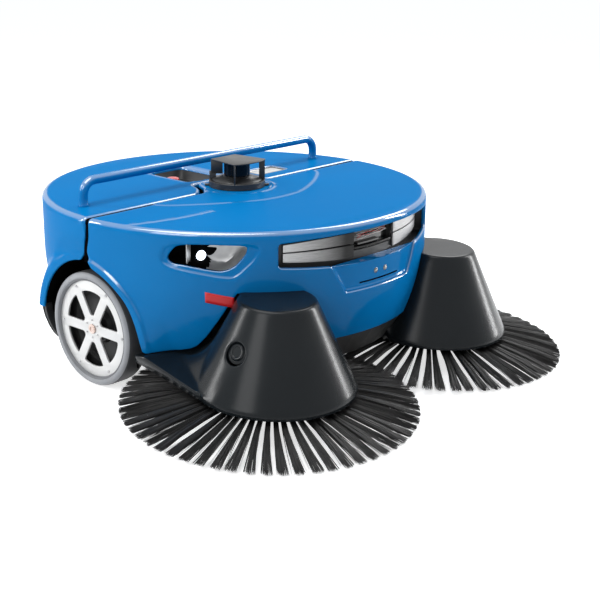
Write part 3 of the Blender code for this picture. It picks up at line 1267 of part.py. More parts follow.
# ---------------------------------------------------------------- swivel caster
def make_caster():
    top = FLOOR_LOW - FIT
    mount = ring("caster_mount", 0.030, KINGPIN_RADIUS + RUN, top - 0.005, top, zinc_steel, 24)
    half = CASTER_WIDTH / 2
    tread = CASTER_RADIUS
    wheel = turned("caster_wheel",
                   [(0.0034, half), (tread - 0.003, half), (tread, half - 0.003),
                    (tread, 0.003 - half), (tread - 0.003, -half), (0.0034, -half)],
                   tyre_rubber, 28, closed=True)
    lay_on_x(wheel, 1, (0, CASTER_Y + CASTER_TRAIL, CASTER_RADIUS))
    mount.location = (0, CASTER_Y, 0)

    crown_top = top - 0.005 - RUN
    fork = cylinder("caster_fork", KINGPIN_RADIUS, crown_top - 0.002, top - 0.0005, zinc_steel, 24)
    fork.location = (0, CASTER_Y, 0)
    plate = box("fork_plate", (-0.0145, CASTER_Y - 0.016, crown_top - 0.0025),
                (0.0145, CASTER_Y + CASTER_TRAIL + 0.004, crown_top))
    legs = []
    for side_name, side in SIDES:
        near, far = sorted((side * (CASTER_WIDTH / 2 + 0.0009), side * 0.0145))
        leg = prism(f"fork_leg_{side_name}",
                    [(CASTER_Y - 0.016, crown_top - 0.001), (CASTER_Y + CASTER_TRAIL - 0.006, 0.020),
                     (CASTER_Y + CASTER_TRAIL + 0.006, 0.020),
                     (CASTER_Y + CASTER_TRAIL + 0.008, crown_top - 0.001)],
                    near, far, frame=TO_X)
        legs.append(leg)
    axle = lay_on_x(cylinder("fork_axle", 0.003, -0.0145, 0.0145, steps=20), 1,
                    (0, CASTER_Y + CASTER_TRAIL, CASTER_RADIUS))
    join(fork, plate, *legs, axle)


make_caster()
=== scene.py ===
"""Looks of the robotic floor cleaner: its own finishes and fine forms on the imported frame.

The file follows the machine as it is put together.  Lengths are in metres.
"""
from math import acos, atan, atan2, cos, degrees, hypot, pi, radians, sin
from random import Random

import bmesh
import bpy
from mathutils import Euler, Matrix, Quaternion, Vector
from mathutils.geometry import delaunay_2d_cdt, interpolate_bezier
from mathutils.kdtree import KDTree


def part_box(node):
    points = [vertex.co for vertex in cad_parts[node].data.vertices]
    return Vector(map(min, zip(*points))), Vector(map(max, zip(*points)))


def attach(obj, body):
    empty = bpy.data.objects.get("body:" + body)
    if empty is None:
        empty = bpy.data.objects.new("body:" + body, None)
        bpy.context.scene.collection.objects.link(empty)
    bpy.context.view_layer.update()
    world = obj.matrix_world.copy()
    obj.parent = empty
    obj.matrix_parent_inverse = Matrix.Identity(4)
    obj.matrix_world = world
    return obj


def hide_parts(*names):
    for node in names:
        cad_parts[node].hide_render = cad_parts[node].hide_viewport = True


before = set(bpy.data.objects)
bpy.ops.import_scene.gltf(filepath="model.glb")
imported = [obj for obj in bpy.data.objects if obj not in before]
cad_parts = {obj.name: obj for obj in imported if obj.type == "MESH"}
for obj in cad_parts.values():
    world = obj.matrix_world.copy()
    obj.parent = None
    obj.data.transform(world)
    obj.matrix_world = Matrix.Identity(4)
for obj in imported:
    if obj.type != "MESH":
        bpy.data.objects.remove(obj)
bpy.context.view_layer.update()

# ------------------------------------------------------------------ studio
# A plain pale floor and backdrop, broad soft lamps and the camera that looks at the
# machine's left front corner from a little above the hoods.
scene = bpy.context.scene
scene.view_settings.view_transform = "Standard"


def node(tree, kind, inputs=None, **settings):
    """A shader node; inputs maps socket names to values or to output sockets."""
    made = tree.nodes.new(kind)
    for key, value in settings.items():
        setattr(made, key, value)
    for key, value in (inputs or {}).items():
        if isinstance(value, bpy.types.NodeSocket):
            tree.links.new(value, made.inputs[key])
        else:
            made.inputs[key].default_value = value
    return made


def soft_lamp(name, place, target, size, watts):
    data = bpy.data.lights.new(name, "AREA")
    data.shape = "RECTANGLE"
    data.size, data.size_y = size
    data.energy = watts
    lamp = bpy.data.objects.new(name, data)
    lamp.location = place
    lamp.rotation_euler = (Vector(target) - Vector(place)).to_track_quat("-Z", "Y").to_euler()
    scene.collection.objects.link(lamp)


def by_sight(tree, lighting, seen):
    """One shader lights the machine; the other is what camera, mirrors and glass look at."""
    rays = node(tree, "ShaderNodeLightPath")
    direct = node(tree, "ShaderNodeMath", {0: rays.outputs["Is Camera Ray"],
                                           1: rays.outputs["Is Glossy Ray"]}, operation="MAXIMUM")
    plain = node(tree, "ShaderNodeMath", {0: direct.outputs[0],
                                          1: rays.outputs["Is Transmission Ray"]},
                 operation="MAXIMUM")
    return node(tree, "ShaderNodeMixShader", {0: plain.outputs[0], 1: lighting.outputs[0],
                                              2: seen.outputs[0]}).outputs[0]


def empty_tree(holder):
    holder.use_nodes = True
    holder.node_tree.nodes.clear()
    return holder.node_tree


def make_surroundings():
    scene.world = bpy.data.worlds.new("studio")
    tree = empty_tree(scene.world)
    ambient = node(tree, "ShaderNodeBackground", {"Color": (0.90, 0.95, 1.0, 1), "Strength": 0.36})
    backdrop = node(tree, "ShaderNodeBackground", {"Color": (1, 1, 1, 1), "Strength": 1.0})
    node(tree, "ShaderNodeOutputWorld", {"Surface": by_sight(tree, ambient, backdrop)})


def make_floor():
    bm = bmesh.new()
    bmesh.ops.create_grid(bm, x_segments=1, y_segments=1, size=30)
    mesh = bpy.data.meshes.new("studio_floor")
    bm.to_mesh(mesh)
    bm.free()
    floor = bpy.data.objects.new("studio_floor", mesh)
    scene.collection.objects.link(floor)
    pale = bpy.data.materials.new("studio_floor")
    tree = empty_tree(pale)
    paper = node(tree, "ShaderNodeBsdfDiffuse", {"Color": (0.93, 0.93, 0.93, 1)})
    glow = node(tree, "ShaderNodeEmission", {"Color": (1, 1, 1, 1), "Strength": 0.68})
    bright = node(tree, "ShaderNodeAddShader", {0: paper.outputs[0], 1: glow.outputs[0]})
    node(tree, "ShaderNodeOutputMaterial", {"Surface": by_sight(tree, paper, bright)})
    mesh.materials.append(pale)


def make_camera():
    data = bpy.data.cameras.new("camera")
    data.sensor_width = 36
    data.lens = 75.23
    camera = bpy.data.objects.new("camera", data)
    camera.location = (-1.8384, -1.7202, 0.9144)
    aim = Vector((0.71084, 0.63501, -0.30243)).to_track_quat("-Z", "Y")
    camera.rotation_mode = "QUATERNION"
    camera.rotation_quaternion = aim @ Quaternion((0, 0, 1), radians(0.60))
    scene.collection.objects.link(camera)
    scene.camera = camera


make_surroundings()
soft_lamp("overhead", (-0.6, 0.2, 2.6), (0, 0.1, 0.2), (1.7, 1.7), 34)
soft_lamp("right_overhead", (2.0, 0.5, 2.1), (0, 0, 0.3), (1.1, 1.3), 24)
soft_lamp("left_key", (-2.6, -0.3, 1.6), (0, 0, 0.2), (1.2, 1.6), 24)
soft_lamp("left_strip", (-1.9, 2.2, 1.1), (0, 0, 0.1), (0.30, 1.9), 32)
soft_lamp("right_strip", (2.5, -1.2, 1.0), (0.2, -0.3, 0.1), (0.24, 1.9), 44)
make_floor()
make_camera()

# ------------------------------------------------------------------ hood paint
# Both hoods and the handle bar are moulded or bent, then sprayed in one glossy blue with
# a clear coat over it, which has the faint waviness of sprayed paint.


def material(name):
    made = bpy.data.materials.new(name)
    made.use_nodes = True
    return made, made.node_tree, made.node_tree.nodes["Principled BSDF"]


def set_inputs(shader, values):
    for key, value in values.items():
        shader.inputs[key].default_value = value


def noise(tree, scale, detail, rough=0.5, stretch=(1, 1, 1)):
    place = node(tree, "ShaderNodeTexCoord")
    sized = node(tree, "ShaderNodeMapping", {"Vector": place.outputs["Object"], "Scale": stretch})
    return node(tree, "ShaderNodeTexNoise", {"Vector": sized.outputs[0], "Scale": scale,
                                             "Detail": detail, "Roughness": rough})


def ramp(tree, source, low, high, *stops):
    """Spread a value between low and high over colours or grey values."""
    made = node(tree, "ShaderNodeValToRGB", {"Fac": source})
    made.color_ramp.elements[0].position = low
    made.color_ramp.elements[1].position = high
    for element, stop in zip(made.color_ramp.elements, stops):
        element.color = (*stop, 1) if isinstance(stop, tuple) else (stop, stop, stop, 1)
    return made


def bump(tree, shader, source, strength, distance):
    made = node(tree, "ShaderNodeBump", {"Height": source, "Strength": strength,
                                         "Distance": distance})
    tree.links.new(made.outputs[0], shader.inputs["Normal"])


def plastic(name, dark, light, roughness, grain, grain_scale=900, patch_scale=5, coat=0.0,
            metallic=0.0, specular=0.5, spread=(0.35, 0.65), relief=1.0):
    """Moulded, cast or sprayed surface: soft patches of tone and a fine grain."""
    made, tree, shader = material(name)
    patches = noise(tree, patch_scale, 3).outputs["Fac"]
    tone = ramp(tree, patches, *spread, dark, light)
    tree.links.new(tone.outputs[0], shader.inputs["Base Color"])
    worn = ramp(tree, patches, 0.3, 0.7, *roughness)
    tree.links.new(worn.outputs[0], shader.inputs["Roughness"])
    bump(tree, shader, noise(tree, grain_scale, 2).outputs["Fac"], relief, grain)
    set_inputs(shader, {"Metallic": metallic, "Specular IOR Level": specular,
                        "Coat Weight": coat, "Coat Roughness": 0.04})
    return made


def make_paint():
    made = plastic("hood_paint", (0.0010, 0.163, 0.440), (0.0018, 0.176, 0.468), (0.34, 0.40),
                   0.00002, 260, 4, specular=0.004)
    tree = made.node_tree
    # painted highlight: the clear coat is weighted by which way the surface faces, full on rounded
    # edges that look upwards, thin on walls and none on flat roofs, so the lamps' highlights show
    # there
    upward = node(tree, "ShaderNodeSeparateXYZ",
                  {0: node(tree, "ShaderNodeTexCoord").outputs["Normal"]}).outputs[2]
    painted_light_rise = node(tree, "ShaderNodeMapRange", {"Value": upward, "From Min": 0.30,
                                               "From Max": 0.60, "To Min": 0.035})
    painted_light_fall = node(tree, "ShaderNodeMapRange", {"Value": upward, "From Min": 0.9985,
                                                "From Max": 0.980})
    gloss = node(tree, "ShaderNodeMath", {0: painted_light_rise.outputs[0], 1: painted_light_fall.outputs[0]},
                 operation="MULTIPLY")
    shader = tree.nodes["Principled BSDF"]
    tree.links.new(gloss.outputs[0], shader.inputs["Coat Weight"])
    set_inputs(shader, {"Specular Tint": (0.02, 0.35, 0.80, 1), "Coat IOR": 2.7,
                        "Coat Roughness": 0.07})
    return made


blue_paint = make_paint()

# ------------------------------------------------------------------ hoods
# Front and rear hood are thin moulded shells of one round body, 800 mm across.  Their seam
# runs straight across it but for a tongue round the scanner; every edge is rolled in.
BODY_RADIUS = 0.400
BODY_TOP = 0.344
SHOULDER = 0.010
# how far the wall draws in towards its foot, the height where that starts, and its curve
TUCK, TUCK_START, TUCK_CURVE = 0.026, 0.240, 1.9
ARCH_END = 0.0997
FRONT_HEM, REAR_HEM = 0.117, 0.132
SEAM_HALF = 0.0045
WHEEL_Y, WHEEL_Z = 0.020, 0.115
ARCH_RADIUS = 0.138
SKIN = 0.0018
SIDES = (("left", -1), ("right", 1))
middle_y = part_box("front_hood")[0][1] + BODY_RADIUS

WALL_TOP = BODY_TOP - SHOULDER
WALL_START = BODY_RADIUS - SHOULDER + SHOULDER * pi / 2


def wall_radius(z):
    drop = max(0.0, TUCK_START - z) / (TUCK_START - ARCH_END)
    return BODY_RADIUS - TUCK * drop ** TUCK_CURVE


def skin_point(u, v):
    """The body's surface laid flat: distance from the middle over the shoulder and down."""
    along = hypot(u, v)
    if along < BODY_RADIUS - SHOULDER:
        return Vector((u, v, BODY_TOP)), Vector((0, 0, 1))
    way = Vector((u / along, v / along, 0))
    if along < WALL_START:
        turn = (along - BODY_RADIUS + SHOULDER) / SHOULDER
        normal = way * sin(turn) + Vector((0, 0, cos(turn)))
        return way * (BODY_RADIUS - SHOULDER) + Vector((0, 0, WALL_TOP)) + normal * SHOULDER, normal
    z = WALL_TOP - (along - WALL_START)
    return way * wall_radius(z) + Vector((0, 0, z)), way


def on_wall(girth, z):
    """Flat place of a wall point given by its girth from the front middle and its height."""
    along = WALL_START + WALL_TOP - z
    return along * sin(girth / BODY_RADIUS), -along * cos(girth / BODY_RADIUS)


def girth_at(y, z):
    return BODY_RADIUS * acos(max(-1, min(1, -y / wall_radius(z))))


def resample(points, step, closed=False):
    """Points at even steps along straight runs; each may carry more values."""
    runs = list(zip(points, points[1:] + points[:1])) if closed else list(zip(points, points[1:]))
    made = []
    for a, b in runs:
        count = max(1, round(hypot(b[0] - a[0], b[1] - a[1]) / step))
        for i in range(count):
            share = i / count
            made.append(tuple(p + (q - p) * share for p, q in zip(a, b)))
    return made if closed else made + [points[-1]]


def rounded(points, radius, closed=True, segments=6):
    """Round a polygon's corners with short curves."""
    made = []
    count = len(points)
    for i, here in enumerate(points):
        if not closed and i in (0, count - 1):
            made.append(here)
            continue
        before, after = points[i - 1], points[(i + 1) % count]
        corner = Vector(here[:2])
        back = Vector(before[:2]) - corner
        on = Vector(after[:2]) - corner
        start = corner + back.normalized() * min(radius, back.length * 0.48)
        end = corner + on.normalized() * min(radius, on.length * 0.48)
        for k in range(segments + 1):
            t = k / segments
            place = start * (1 - t) ** 2 + corner * 2 * t * (1 - t) + end * t ** 2
            made.append((place.x, place.y) + tuple(here[2:]))
    return made


def smooth_run(points, segments=8, closed=True):
    """A smooth curve through a few points."""
    made = []
    count = len(points)
    for i in range(count if closed else count - 1):
        picks = [(i + k) % count if closed else max(0, min(count - 1, i + k))
                 for k in (-1, 0, 1, 2)]
        a, b, c, d = (Vector(points[k]) for k in picks)
        made += [tuple(p[:2]) for p in interpolate_bezier(
            b, b + (c - a) / 6, c - (d - b) / 6, c, segments + 1)[:-1]]
    return made if closed else made + [tuple(points[-1])]


def turning(points):
    """Positive where a loop runs anticlockwise."""
    return sum(a[0] * b[1] - b[0] * a[1] for a, b in zip(points, points[1:] + points[:1]))


def shifted(points, distance, closed=True):
    """Shift a line to the right of its run."""
    made = []
    count = len(points)
    for i, here in enumerate(points):
        before = points[i - 1] if closed or i else here
        after = points[(i + 1) % count] if closed or i < count - 1 else here
        along = Vector((after[0] - before[0], after[1] - before[1])).normalized()
        move = distance(here) if callable(distance) else distance
        made.append((here[0] + along.y * move, here[1] - along.x * move) + tuple(here[2:]))
    return made


def grown(points, distance):
    """A closed outline made larger all round."""
    return shifted(points, distance if turning(points) > 0 else -distance)


def point_tree(places):
    tree = KDTree(len(places))
    for i, place in enumerate(places):
        tree.insert((place[0], place[1], 0), i)
    tree.balance()
    return tree


def drawn_in(points):
    """A closed outline made smaller by each point's own third value, without loops."""
    sense = -1 if turning(points) > 0 else 1
    tree = point_tree(points)
    return [p for p in shifted(points, lambda p: sense * p[2])
            if tree.find((p[0], p[1], 0))[2] > 0.93 * p[2]]


def inside(point, outline):
    x, y = point
    odd = False
    for (x0, y0), (x1, y1) in zip(outline, outline[1:] + outline[:1]):
        if (y0 > y) != (y1 > y) and x < (x1 - x0) * (y - y0) / (y1 - y0) + x0:
            odd = not odd
    return odd


def smooth_step(value):
    value = max(0.0, min(1.0, value))
    return value * value * (3 - 2 * value)


def skin_grid():
    """Places spread over the flat body, close together on the shoulder."""
    places = []
    step = 0.011
    rows = int(BODY_RADIUS / step)
    for i in range(-rows, rows + 1):
        for j in range(-rows, rows + 1):
            u, v = (i + 0.5 * (j % 2)) * step, j * step * 0.866
            if hypot(u, v) < BODY_RADIUS - SHOULDER - 0.004:
                places.append((u, v))
    rings = [BODY_RADIUS - SHOULDER - 0.0005 + SHOULDER * pi / 2 * k / 6 for k in range(7)]
    rings += [WALL_START + 0.0075 * k for k in range(1, 36)]
    for k, ring in enumerate(rings):
        for i in range(300):
            angle = 2 * pi * (i + 0.5 * (k % 2)) / 300
            places.append((ring * sin(angle), -ring * cos(angle)))
    return places


def moulded_skin(border, holes, guides, surface, grid, clear=0.0030):
    """A surface over a flat outline with openings, its mesh following all their edges.

    Outline and opening points are (u, v, edge radius); surface gives each place's point.
    """
    loops = [border] + holes
    flat, roll, edges = [], [], []
    for loop in loops:
        first = len(flat)
        flat += [Vector(p[:2]) for p in loop]
        roll += [p[2] for p in loop]
        edges += [(first + i, first + (i + 1) % len(loop)) for i in range(len(loop))]
    for line in guides:
        first = len(flat)
        flat += [Vector(p[:2]) for p in line]
        roll += [0] * len(line)
        edges += [(first + i, first + i + 1) for i in range(len(line) - 1)]
    tree = point_tree(flat)
    outer = [tuple(p[:2]) for p in border]
    inner = [[tuple(p[:2]) for p in hole] for hole in holes]
    for place in grid:
        if tree.find((*place, 0))[2] < clear or not inside(place, outer):
            continue
        if any(inside(place, hole) for hole in inner):
            continue
        flat.append(Vector(place))
        roll.append(0)
    places, _, faces, sources, _, _ = delaunay_2d_cdt(flat, edges, [], 0, 1e-6)
    bm = bmesh.new()
    radius = bm.verts.layers.float.new("roll")
    verts = []
    for place, source in zip(places, sources):
        vert = bm.verts.new(surface(*place))
        vert[radius] = max((roll[i] for i in source), default=0)
        verts.append(vert)
    for face in faces:
        centre = sum((places[i] for i in face), Vector((0, 0))) / len(face)
        if inside(centre, outer) and not any(inside(centre, hole) for hole in inner):
            bm.faces.new([verts[i] for i in face])
    bmesh.ops.delete(bm, geom=[v for v in bm.verts if not v.link_faces], context="VERTS")
    bm.normal_update()
    return bm, radius


def face_out(bm, outwards):
    """Turn the faces so that most of them look the given way."""
    if sum(f.normal.dot(outwards(f.calc_center_median())) * f.calc_area() for f in bm.faces) < 0:
        bmesh.ops.reverse_faces(bm, faces=bm.faces)
    bm.normal_update()


def extend_rim(bm, edges, steps, place, up=None):
    """Extrude open edges in steps.

    place takes a starting vertex, the way off the surface there and the normal, and gives
    the vertex's point for every step.
    """
    base = {}
    for vert in {v for e in edges for v in e.verts}:
        ends = [e.other_vert(vert).co for e in vert.link_edges if e.is_boundary]
        normal = up or vert.normal.copy()
        away = (ends[0] - ends[1]).cross(normal).normalized()
        middle = sum((f.calc_center_median() for f in vert.link_faces), Vector())
        if away.dot(middle / len(vert.link_faces) - vert.co) > 0:
            away.negate()
        base[vert] = place(vert, away, normal)
    for step in range(1, steps + 1):
        made = bmesh.ops.extrude_edge_only(bm, edges=edges)["geom"]
        fresh = {g for g in made if isinstance(g, bmesh.types.BMVert)}
        edges = [g for g in made if isinstance(g, bmesh.types.BMEdge)
                 and g.verts[0] in fresh and g.verts[1] in fresh]
        following = {}
        for vert in fresh:
            mate = next(e.other_vert(vert) for e in vert.link_edges if e.other_vert(vert) in base)
            vert.co = base[mate][step - 1]
            following[vert] = base[mate]
        base = following


def sideways(point):
    return Vector((point.x, point.y, 0))


def upwards(point):
    return Vector((0, 0, 1))


ROLL_TURNS = 5


def roll_edges(bm, radius, edges=None, flange=0.004):
    """Turn open edges in through a quarter round and on by a short flange."""
    bm.normal_update()

    def rolled(vert, away, normal):
        co, r = vert.co.copy(), vert[radius]
        made = []
        for k in range(1, ROLL_TURNS + 1):
            turn = pi / 2 * k / ROLL_TURNS
            made.append(co + away * r * sin(turn) - normal * r * (1 - cos(turn)))
        return made + [made[-1] - normal * flange * min(1.0, r / 0.004)]

    extend_rim(bm, edges or [e for e in bm.edges if e.is_boundary], ROLL_TURNS + 1, rolled)


def piece(name, bm, finish, body, stands_for=(), soft_edge=38, skin=0.0):
    """Make a mesh object of a bmesh, ride it on its body and let it stand for CAD nodes."""
    bmesh.ops.translate(bm, vec=(0, middle_y, 0), verts=bm.verts)
    mesh = bpy.data.meshes.new(name)
    bm.to_mesh(mesh)
    bm.free()
    mesh.shade_smooth()
    mesh.set_sharp_from_angle(angle=radians(soft_edge))
    for each in finish if isinstance(finish, (list, tuple)) else [finish]:
        mesh.materials.append(each)
    made = bpy.data.objects.new(name, mesh)
    scene.collection.objects.link(made)
    if skin:
        wall = made.modifiers.new("wall", "SOLIDIFY")
        wall.thickness = skin
        wall.offset = -1
    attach(made, body)
    if stands_for:
        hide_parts(*stands_for)


LIP_STAND, LIP_WIDTH, LIP_SLOPE = 0.0048, 0.0175, 0.0070
# below the first height, over the second length, the front lip also flares out
FLARE_HIGH, FLARE_RUN = 0.205, 0.095
LIP_FLARE, FLARE_WIDTH, FLARE_SLOPE = 0.018, 0.0580, 0.0480
# the rear lip lies in an upright plane; a shallow groove runs round it where it is low
FLARE_X, FLARE_RADIUS, FLARE_LIP, FLARE_BLEND = 0.390, 0.1395, 0.0085, 0.020
GROOVE_DEPTH, GROOVE_START, GROOVE_END, GROOVE_FADE = 0.0045, 0.008, 0.050, 0.012


def arch_relief(point):
    """Before the wheel the arch's lip stands out from the wall, and more so at its foot."""
    away = hypot(point.y - WHEEL_Y, point.z - WHEEL_Z) - ARCH_RADIUS
    if abs(point.x) < 0.25 or point.z > WALL_TOP or away < -0.02:
        return 0.0
    low = smooth_step((FLARE_HIGH - point.z) / FLARE_RUN) if point.y < 0 else 0.0
    flare = LIP_FLARE * low * smooth_step((FLARE_WIDTH - away) / FLARE_SLOPE)
    return LIP_STAND * smooth_step((LIP_WIDTH - away) / LIP_SLOPE) + flare


def flare_relief(point):
    """Behind the wheel the lip stays upright beside it while the wall draws in and away."""
    if abs(point.x) < 0.12 or point.z > WALL_TOP:
        return 0.0
    reach = hypot(point.x, point.y)
    flared = FLARE_X * reach / abs(point.x)
    scale = flared / reach
    away = hypot(point.y * scale - WHEEL_Y, point.z - WHEEL_Z) - FLARE_RADIUS
    if away > 0.12:
        return 0.0
    over = flared - reach
    spread = FLARE_BLEND + 1.1 * max(0.0, over)
    dip = (GROOVE_DEPTH * smooth_step((away - GROOVE_START) / 0.014)
           * smooth_step((GROOVE_END - away) / 0.022))
    lip = over * smooth_step((FLARE_LIP + spread - away) / spread)
    return lip - dip * smooth_step((GROOVE_FADE - over) / GROOVE_FADE)


def wall_line(points, roll):
    """Right-hand outline over the wall, from (y, z) points."""
    run = [(girth_at(y, z), z) for y, z in points]
    return [(*on_wall(g, z), roll) for g, z in resample(run, 0.004)]


EDGE_ROLL = 0.0024
arch_front = [(WHEEL_Y + ARCH_RADIUS * cos(a), WHEEL_Z + ARCH_RADIUS * sin(a))
              for a in [radians(97.5 + (186.5 - 97.5) * k / 30) for k in range(31)]]
# the seam bends a little to the rear as it runs down the wall, as (y, height)
JOG = [(0.0, 0.306), (0.0035, 0.296), (0.0070, 0.286), (0.0085, 0.276)]


def flare_spot(angle, away=0.0):
    """Girth and height of a place on the rear lip, which lies in an upright plane."""
    y = WHEEL_Y + (FLARE_RADIUS + away) * cos(angle)
    return (atan2(FLARE_X, -y) * BODY_RADIUS, WHEEL_Z + (FLARE_RADIUS + away) * sin(angle))


arch_rear = [flare_spot(radians(88.0 - (88.0 - 7.0) * k / 36)) for k in range(37)]
# front hood's hem over the brush arm, as (y, height)
side_hem = [(-0.1180, 0.0980), (-0.1515, 0.1045), (-0.1795, 0.1075), (-0.1980, 0.1125),
            (-0.2095, 0.1190), (-0.2176, 0.1270), (-0.2277, 0.1385), (-0.2381, 0.1530),
            (-0.2475, 0.1670), (-0.2566, 0.1817), (-0.2651, 0.1971), (-0.2740, 0.2140),
            (-0.2830, 0.2300)]

# the sensor slot with the dock recess below it, as (girth, height)
SLOT_END = radians(34) * BODY_RADIUS
SLOT_LOW, SLOT_HIGH = 0.266, 0.3295
DOCK_TOP, DOCK_FOOT, DOCK_LOW = 0.1294, 0.0972, 0.213
SLOT_ROLL = 0.0040


def slot_edge(girth, low):
    share = (girth / SLOT_END) ** 2
    return SLOT_LOW + 0.010 * share if low else SLOT_HIGH - 0.0090 * share


def slot_outline():
    half = [(DOCK_FOOT, DOCK_LOW), (DOCK_TOP, slot_edge(DOCK_TOP, True))]
    half += [(DOCK_TOP + (SLOT_END - DOCK_TOP) * k / 5,
              slot_edge(DOCK_TOP + (SLOT_END - DOCK_TOP) * k / 5, True)) for k in range(1, 6)]
    half += [(SLOT_END * k / 8, slot_edge(SLOT_END * k / 8, False)) for k in range(8, -1, -1)]
    whole = half + [(-g, z) for g, z in reversed(half[:-1])]
    return resample(rounded(whole, 0.0075, segments=5), 0.003, True)


# the headlight opening of the right side, as (azimuth in degrees, height)
LAMP_POINTS = [(63.6, 0.2930), (62.1, 0.3090), (59.9, 0.3167), (54.6, 0.3196),
               (46.7, 0.3189), (42.8, 0.3168), (42.3, 0.3092), (43.3, 0.2980),
               (45.6, 0.2812), (48.8, 0.2722), (53.3, 0.2746), (58.6, 0.2804),
               (62.2, 0.2843)]
# the wall sinks towards it from a crease, from the rear top round to the front
LID_POINTS = [(65.2, 0.2950), (64.9, 0.2820), (60.8, 0.2718), (55.0, 0.2650),
              (49.0, 0.2590), (45.6, 0.2598), (42.6, 0.2760), (39.9, 0.2960),
              (38.9, 0.3130), (41.0, 0.3225), (46.5, 0.3238), (54.6, 0.3240),
              (61.0, 0.3212), (64.2, 0.3125)]
LID_DEPTH, LID_WIDTH = 0.0036, 0.0095
LID_TURNS, LID_HEIGHTS = (38, 66), (0.25, 0.33)     # nothing sinks outside these
LAMP_ROLL = 0.0030


def lamp_loop(points, side):
    return smooth_run([(side * radians(a) * BODY_RADIUS, z) for a, z in points])


lamp_loops = {side: lamp_loop(LAMP_POINTS, side) for side in (-1, 1)}
lid_loops = {side: lamp_loop(LID_POINTS, side) for side in (-1, 1)}


def nearest(point, line):
    return min(hypot(point[0] - p[0], point[1] - p[1]) for p in line)


def nearest_segment(point, outline):
    here = Vector(point)
    best = 1.0
    for a, b in zip(outline, outline[1:] + outline[:1]):
        a, b = Vector(a[:2]), Vector(b[:2])
        share = max(0, min(1, (here - a).dot(b - a) / max((b - a).length_squared, 1e-12)))
        best = min(best, (a + (b - a) * share - here).length)
    return best


def lid_relief(point):
    """The wall sinks from the lid's crease towards the headlight."""
    turn = degrees(atan2(point.x, -point.y))
    if (not LID_HEIGHTS[0] < point.z < LID_HEIGHTS[1]
            or not LID_TURNS[0] < abs(turn) < LID_TURNS[1]):
        return 0.0
    side = 1 if turn > 0 else -1
    place = (radians(turn) * BODY_RADIUS, point.z)
    if not inside(place, lid_loops[side]):
        return 0.0
    share = min(1.0, nearest_segment(place, lid_loops[side]) / LID_WIDTH)
    return -LID_DEPTH * (1 - (1 - share) ** 2)


# low raised field round the scanner and a soft crease at its left, as (x, y)
BOSS_HEIGHT, BOSS_SLOPE = 0.0014, 0.0045
BOSS = [(0.238, -0.012), (0.222, -0.036), (0.165, -0.078), (0.105, -0.112), (0.055, -0.134),
        (0, -0.141)]
boss_line = resample(rounded(BOSS + [(-x, y) for x, y in reversed(BOSS[:-1])], 0.02, False), 0.005)
boss_field = boss_line + [(-0.238, 0.1), (0.238, 0.1)]
CREASE = [(-0.372, -0.097), (-0.336, -0.109), (-0.300, -0.1175), (-0.262, -0.1240),
          (-0.228, -0.1265), (-0.193, -0.1262)]
crease_line = resample(CREASE, 0.005)
CREASE_HEIGHT, CREASE_HALF = 0.0013, 0.0050
# a low ring round the scanner's foot
SCANNER_Y = -0.004
FOOT_RING, FOOT_HEIGHT, FOOT_HALF = 0.076, 0.0016, 0.007


def top_relief(point):
    if point.z < BODY_TOP - 0.0002 or point.y > 0.08:
        return 0.0
    lift = 0.0
    place = (point.x, point.y)
    within = inside(place, boss_field)
    away = nearest(place, boss_line)
    if away < 0.010:
        lift = BOSS_HEIGHT * (0.5 + 0.5 * smooth_step(away / BOSS_SLOPE) * (1 if within else -1))
    elif within:
        lift = BOSS_HEIGHT
    lift += CREASE_HEIGHT * (1 - smooth_step(nearest(place, crease_line) / CREASE_HALF))
    foot = abs(hypot(point.x, point.y - SCANNER_Y) - FOOT_RING)
    return lift + FOOT_HEIGHT * (1 - smooth_step(foot / FOOT_HALF))


def front_surface(u, v):
    point, normal = skin_point(u, v)
    return point + normal * (arch_relief(point) + lid_relief(point) + top_relief(point))


def runs_of(points, gap):
    """Split a line where its points lie further apart than gap."""
    lines = [[points[0]]]
    for a, b in zip(points, points[1:]):
        if hypot(b[0] - a[0], b[1] - a[1]) > gap:
            lines.append([])
        lines[-1].append(b)
    return [line for line in lines if len(line) > 2]


def roof_edge(points, y, corner, roll):
    """Right half of a hood's edge: from the middle over the roof and round the shoulder."""
    top = rounded(points + [(BODY_RADIUS - SHOULDER, y)], corner, False)
    made = [(*p, roll) for p in resample(top, 0.004)][:-1]
    turn = girth_at(y, 0.30) / BODY_RADIUS
    return made + [(s * sin(turn), -s * cos(turn), roll) for s in
                   [WALL_START - SHOULDER * pi / 2 + k * 0.0026 for k in range(7)]]


def both_halves(right):
    return drawn_in(right[1:] + [(-u, v, r) for u, v, r in reversed(right)][1:])


def finished_skin(border, holes, guides, surface, grid, clear=0.0030):
    bm, radius = moulded_skin(border, holes, guides, surface, grid, clear)
    face_out(bm, lambda p: Vector((p.x, p.y, 0.2)))
    roll_edges(bm, radius)
    return bm


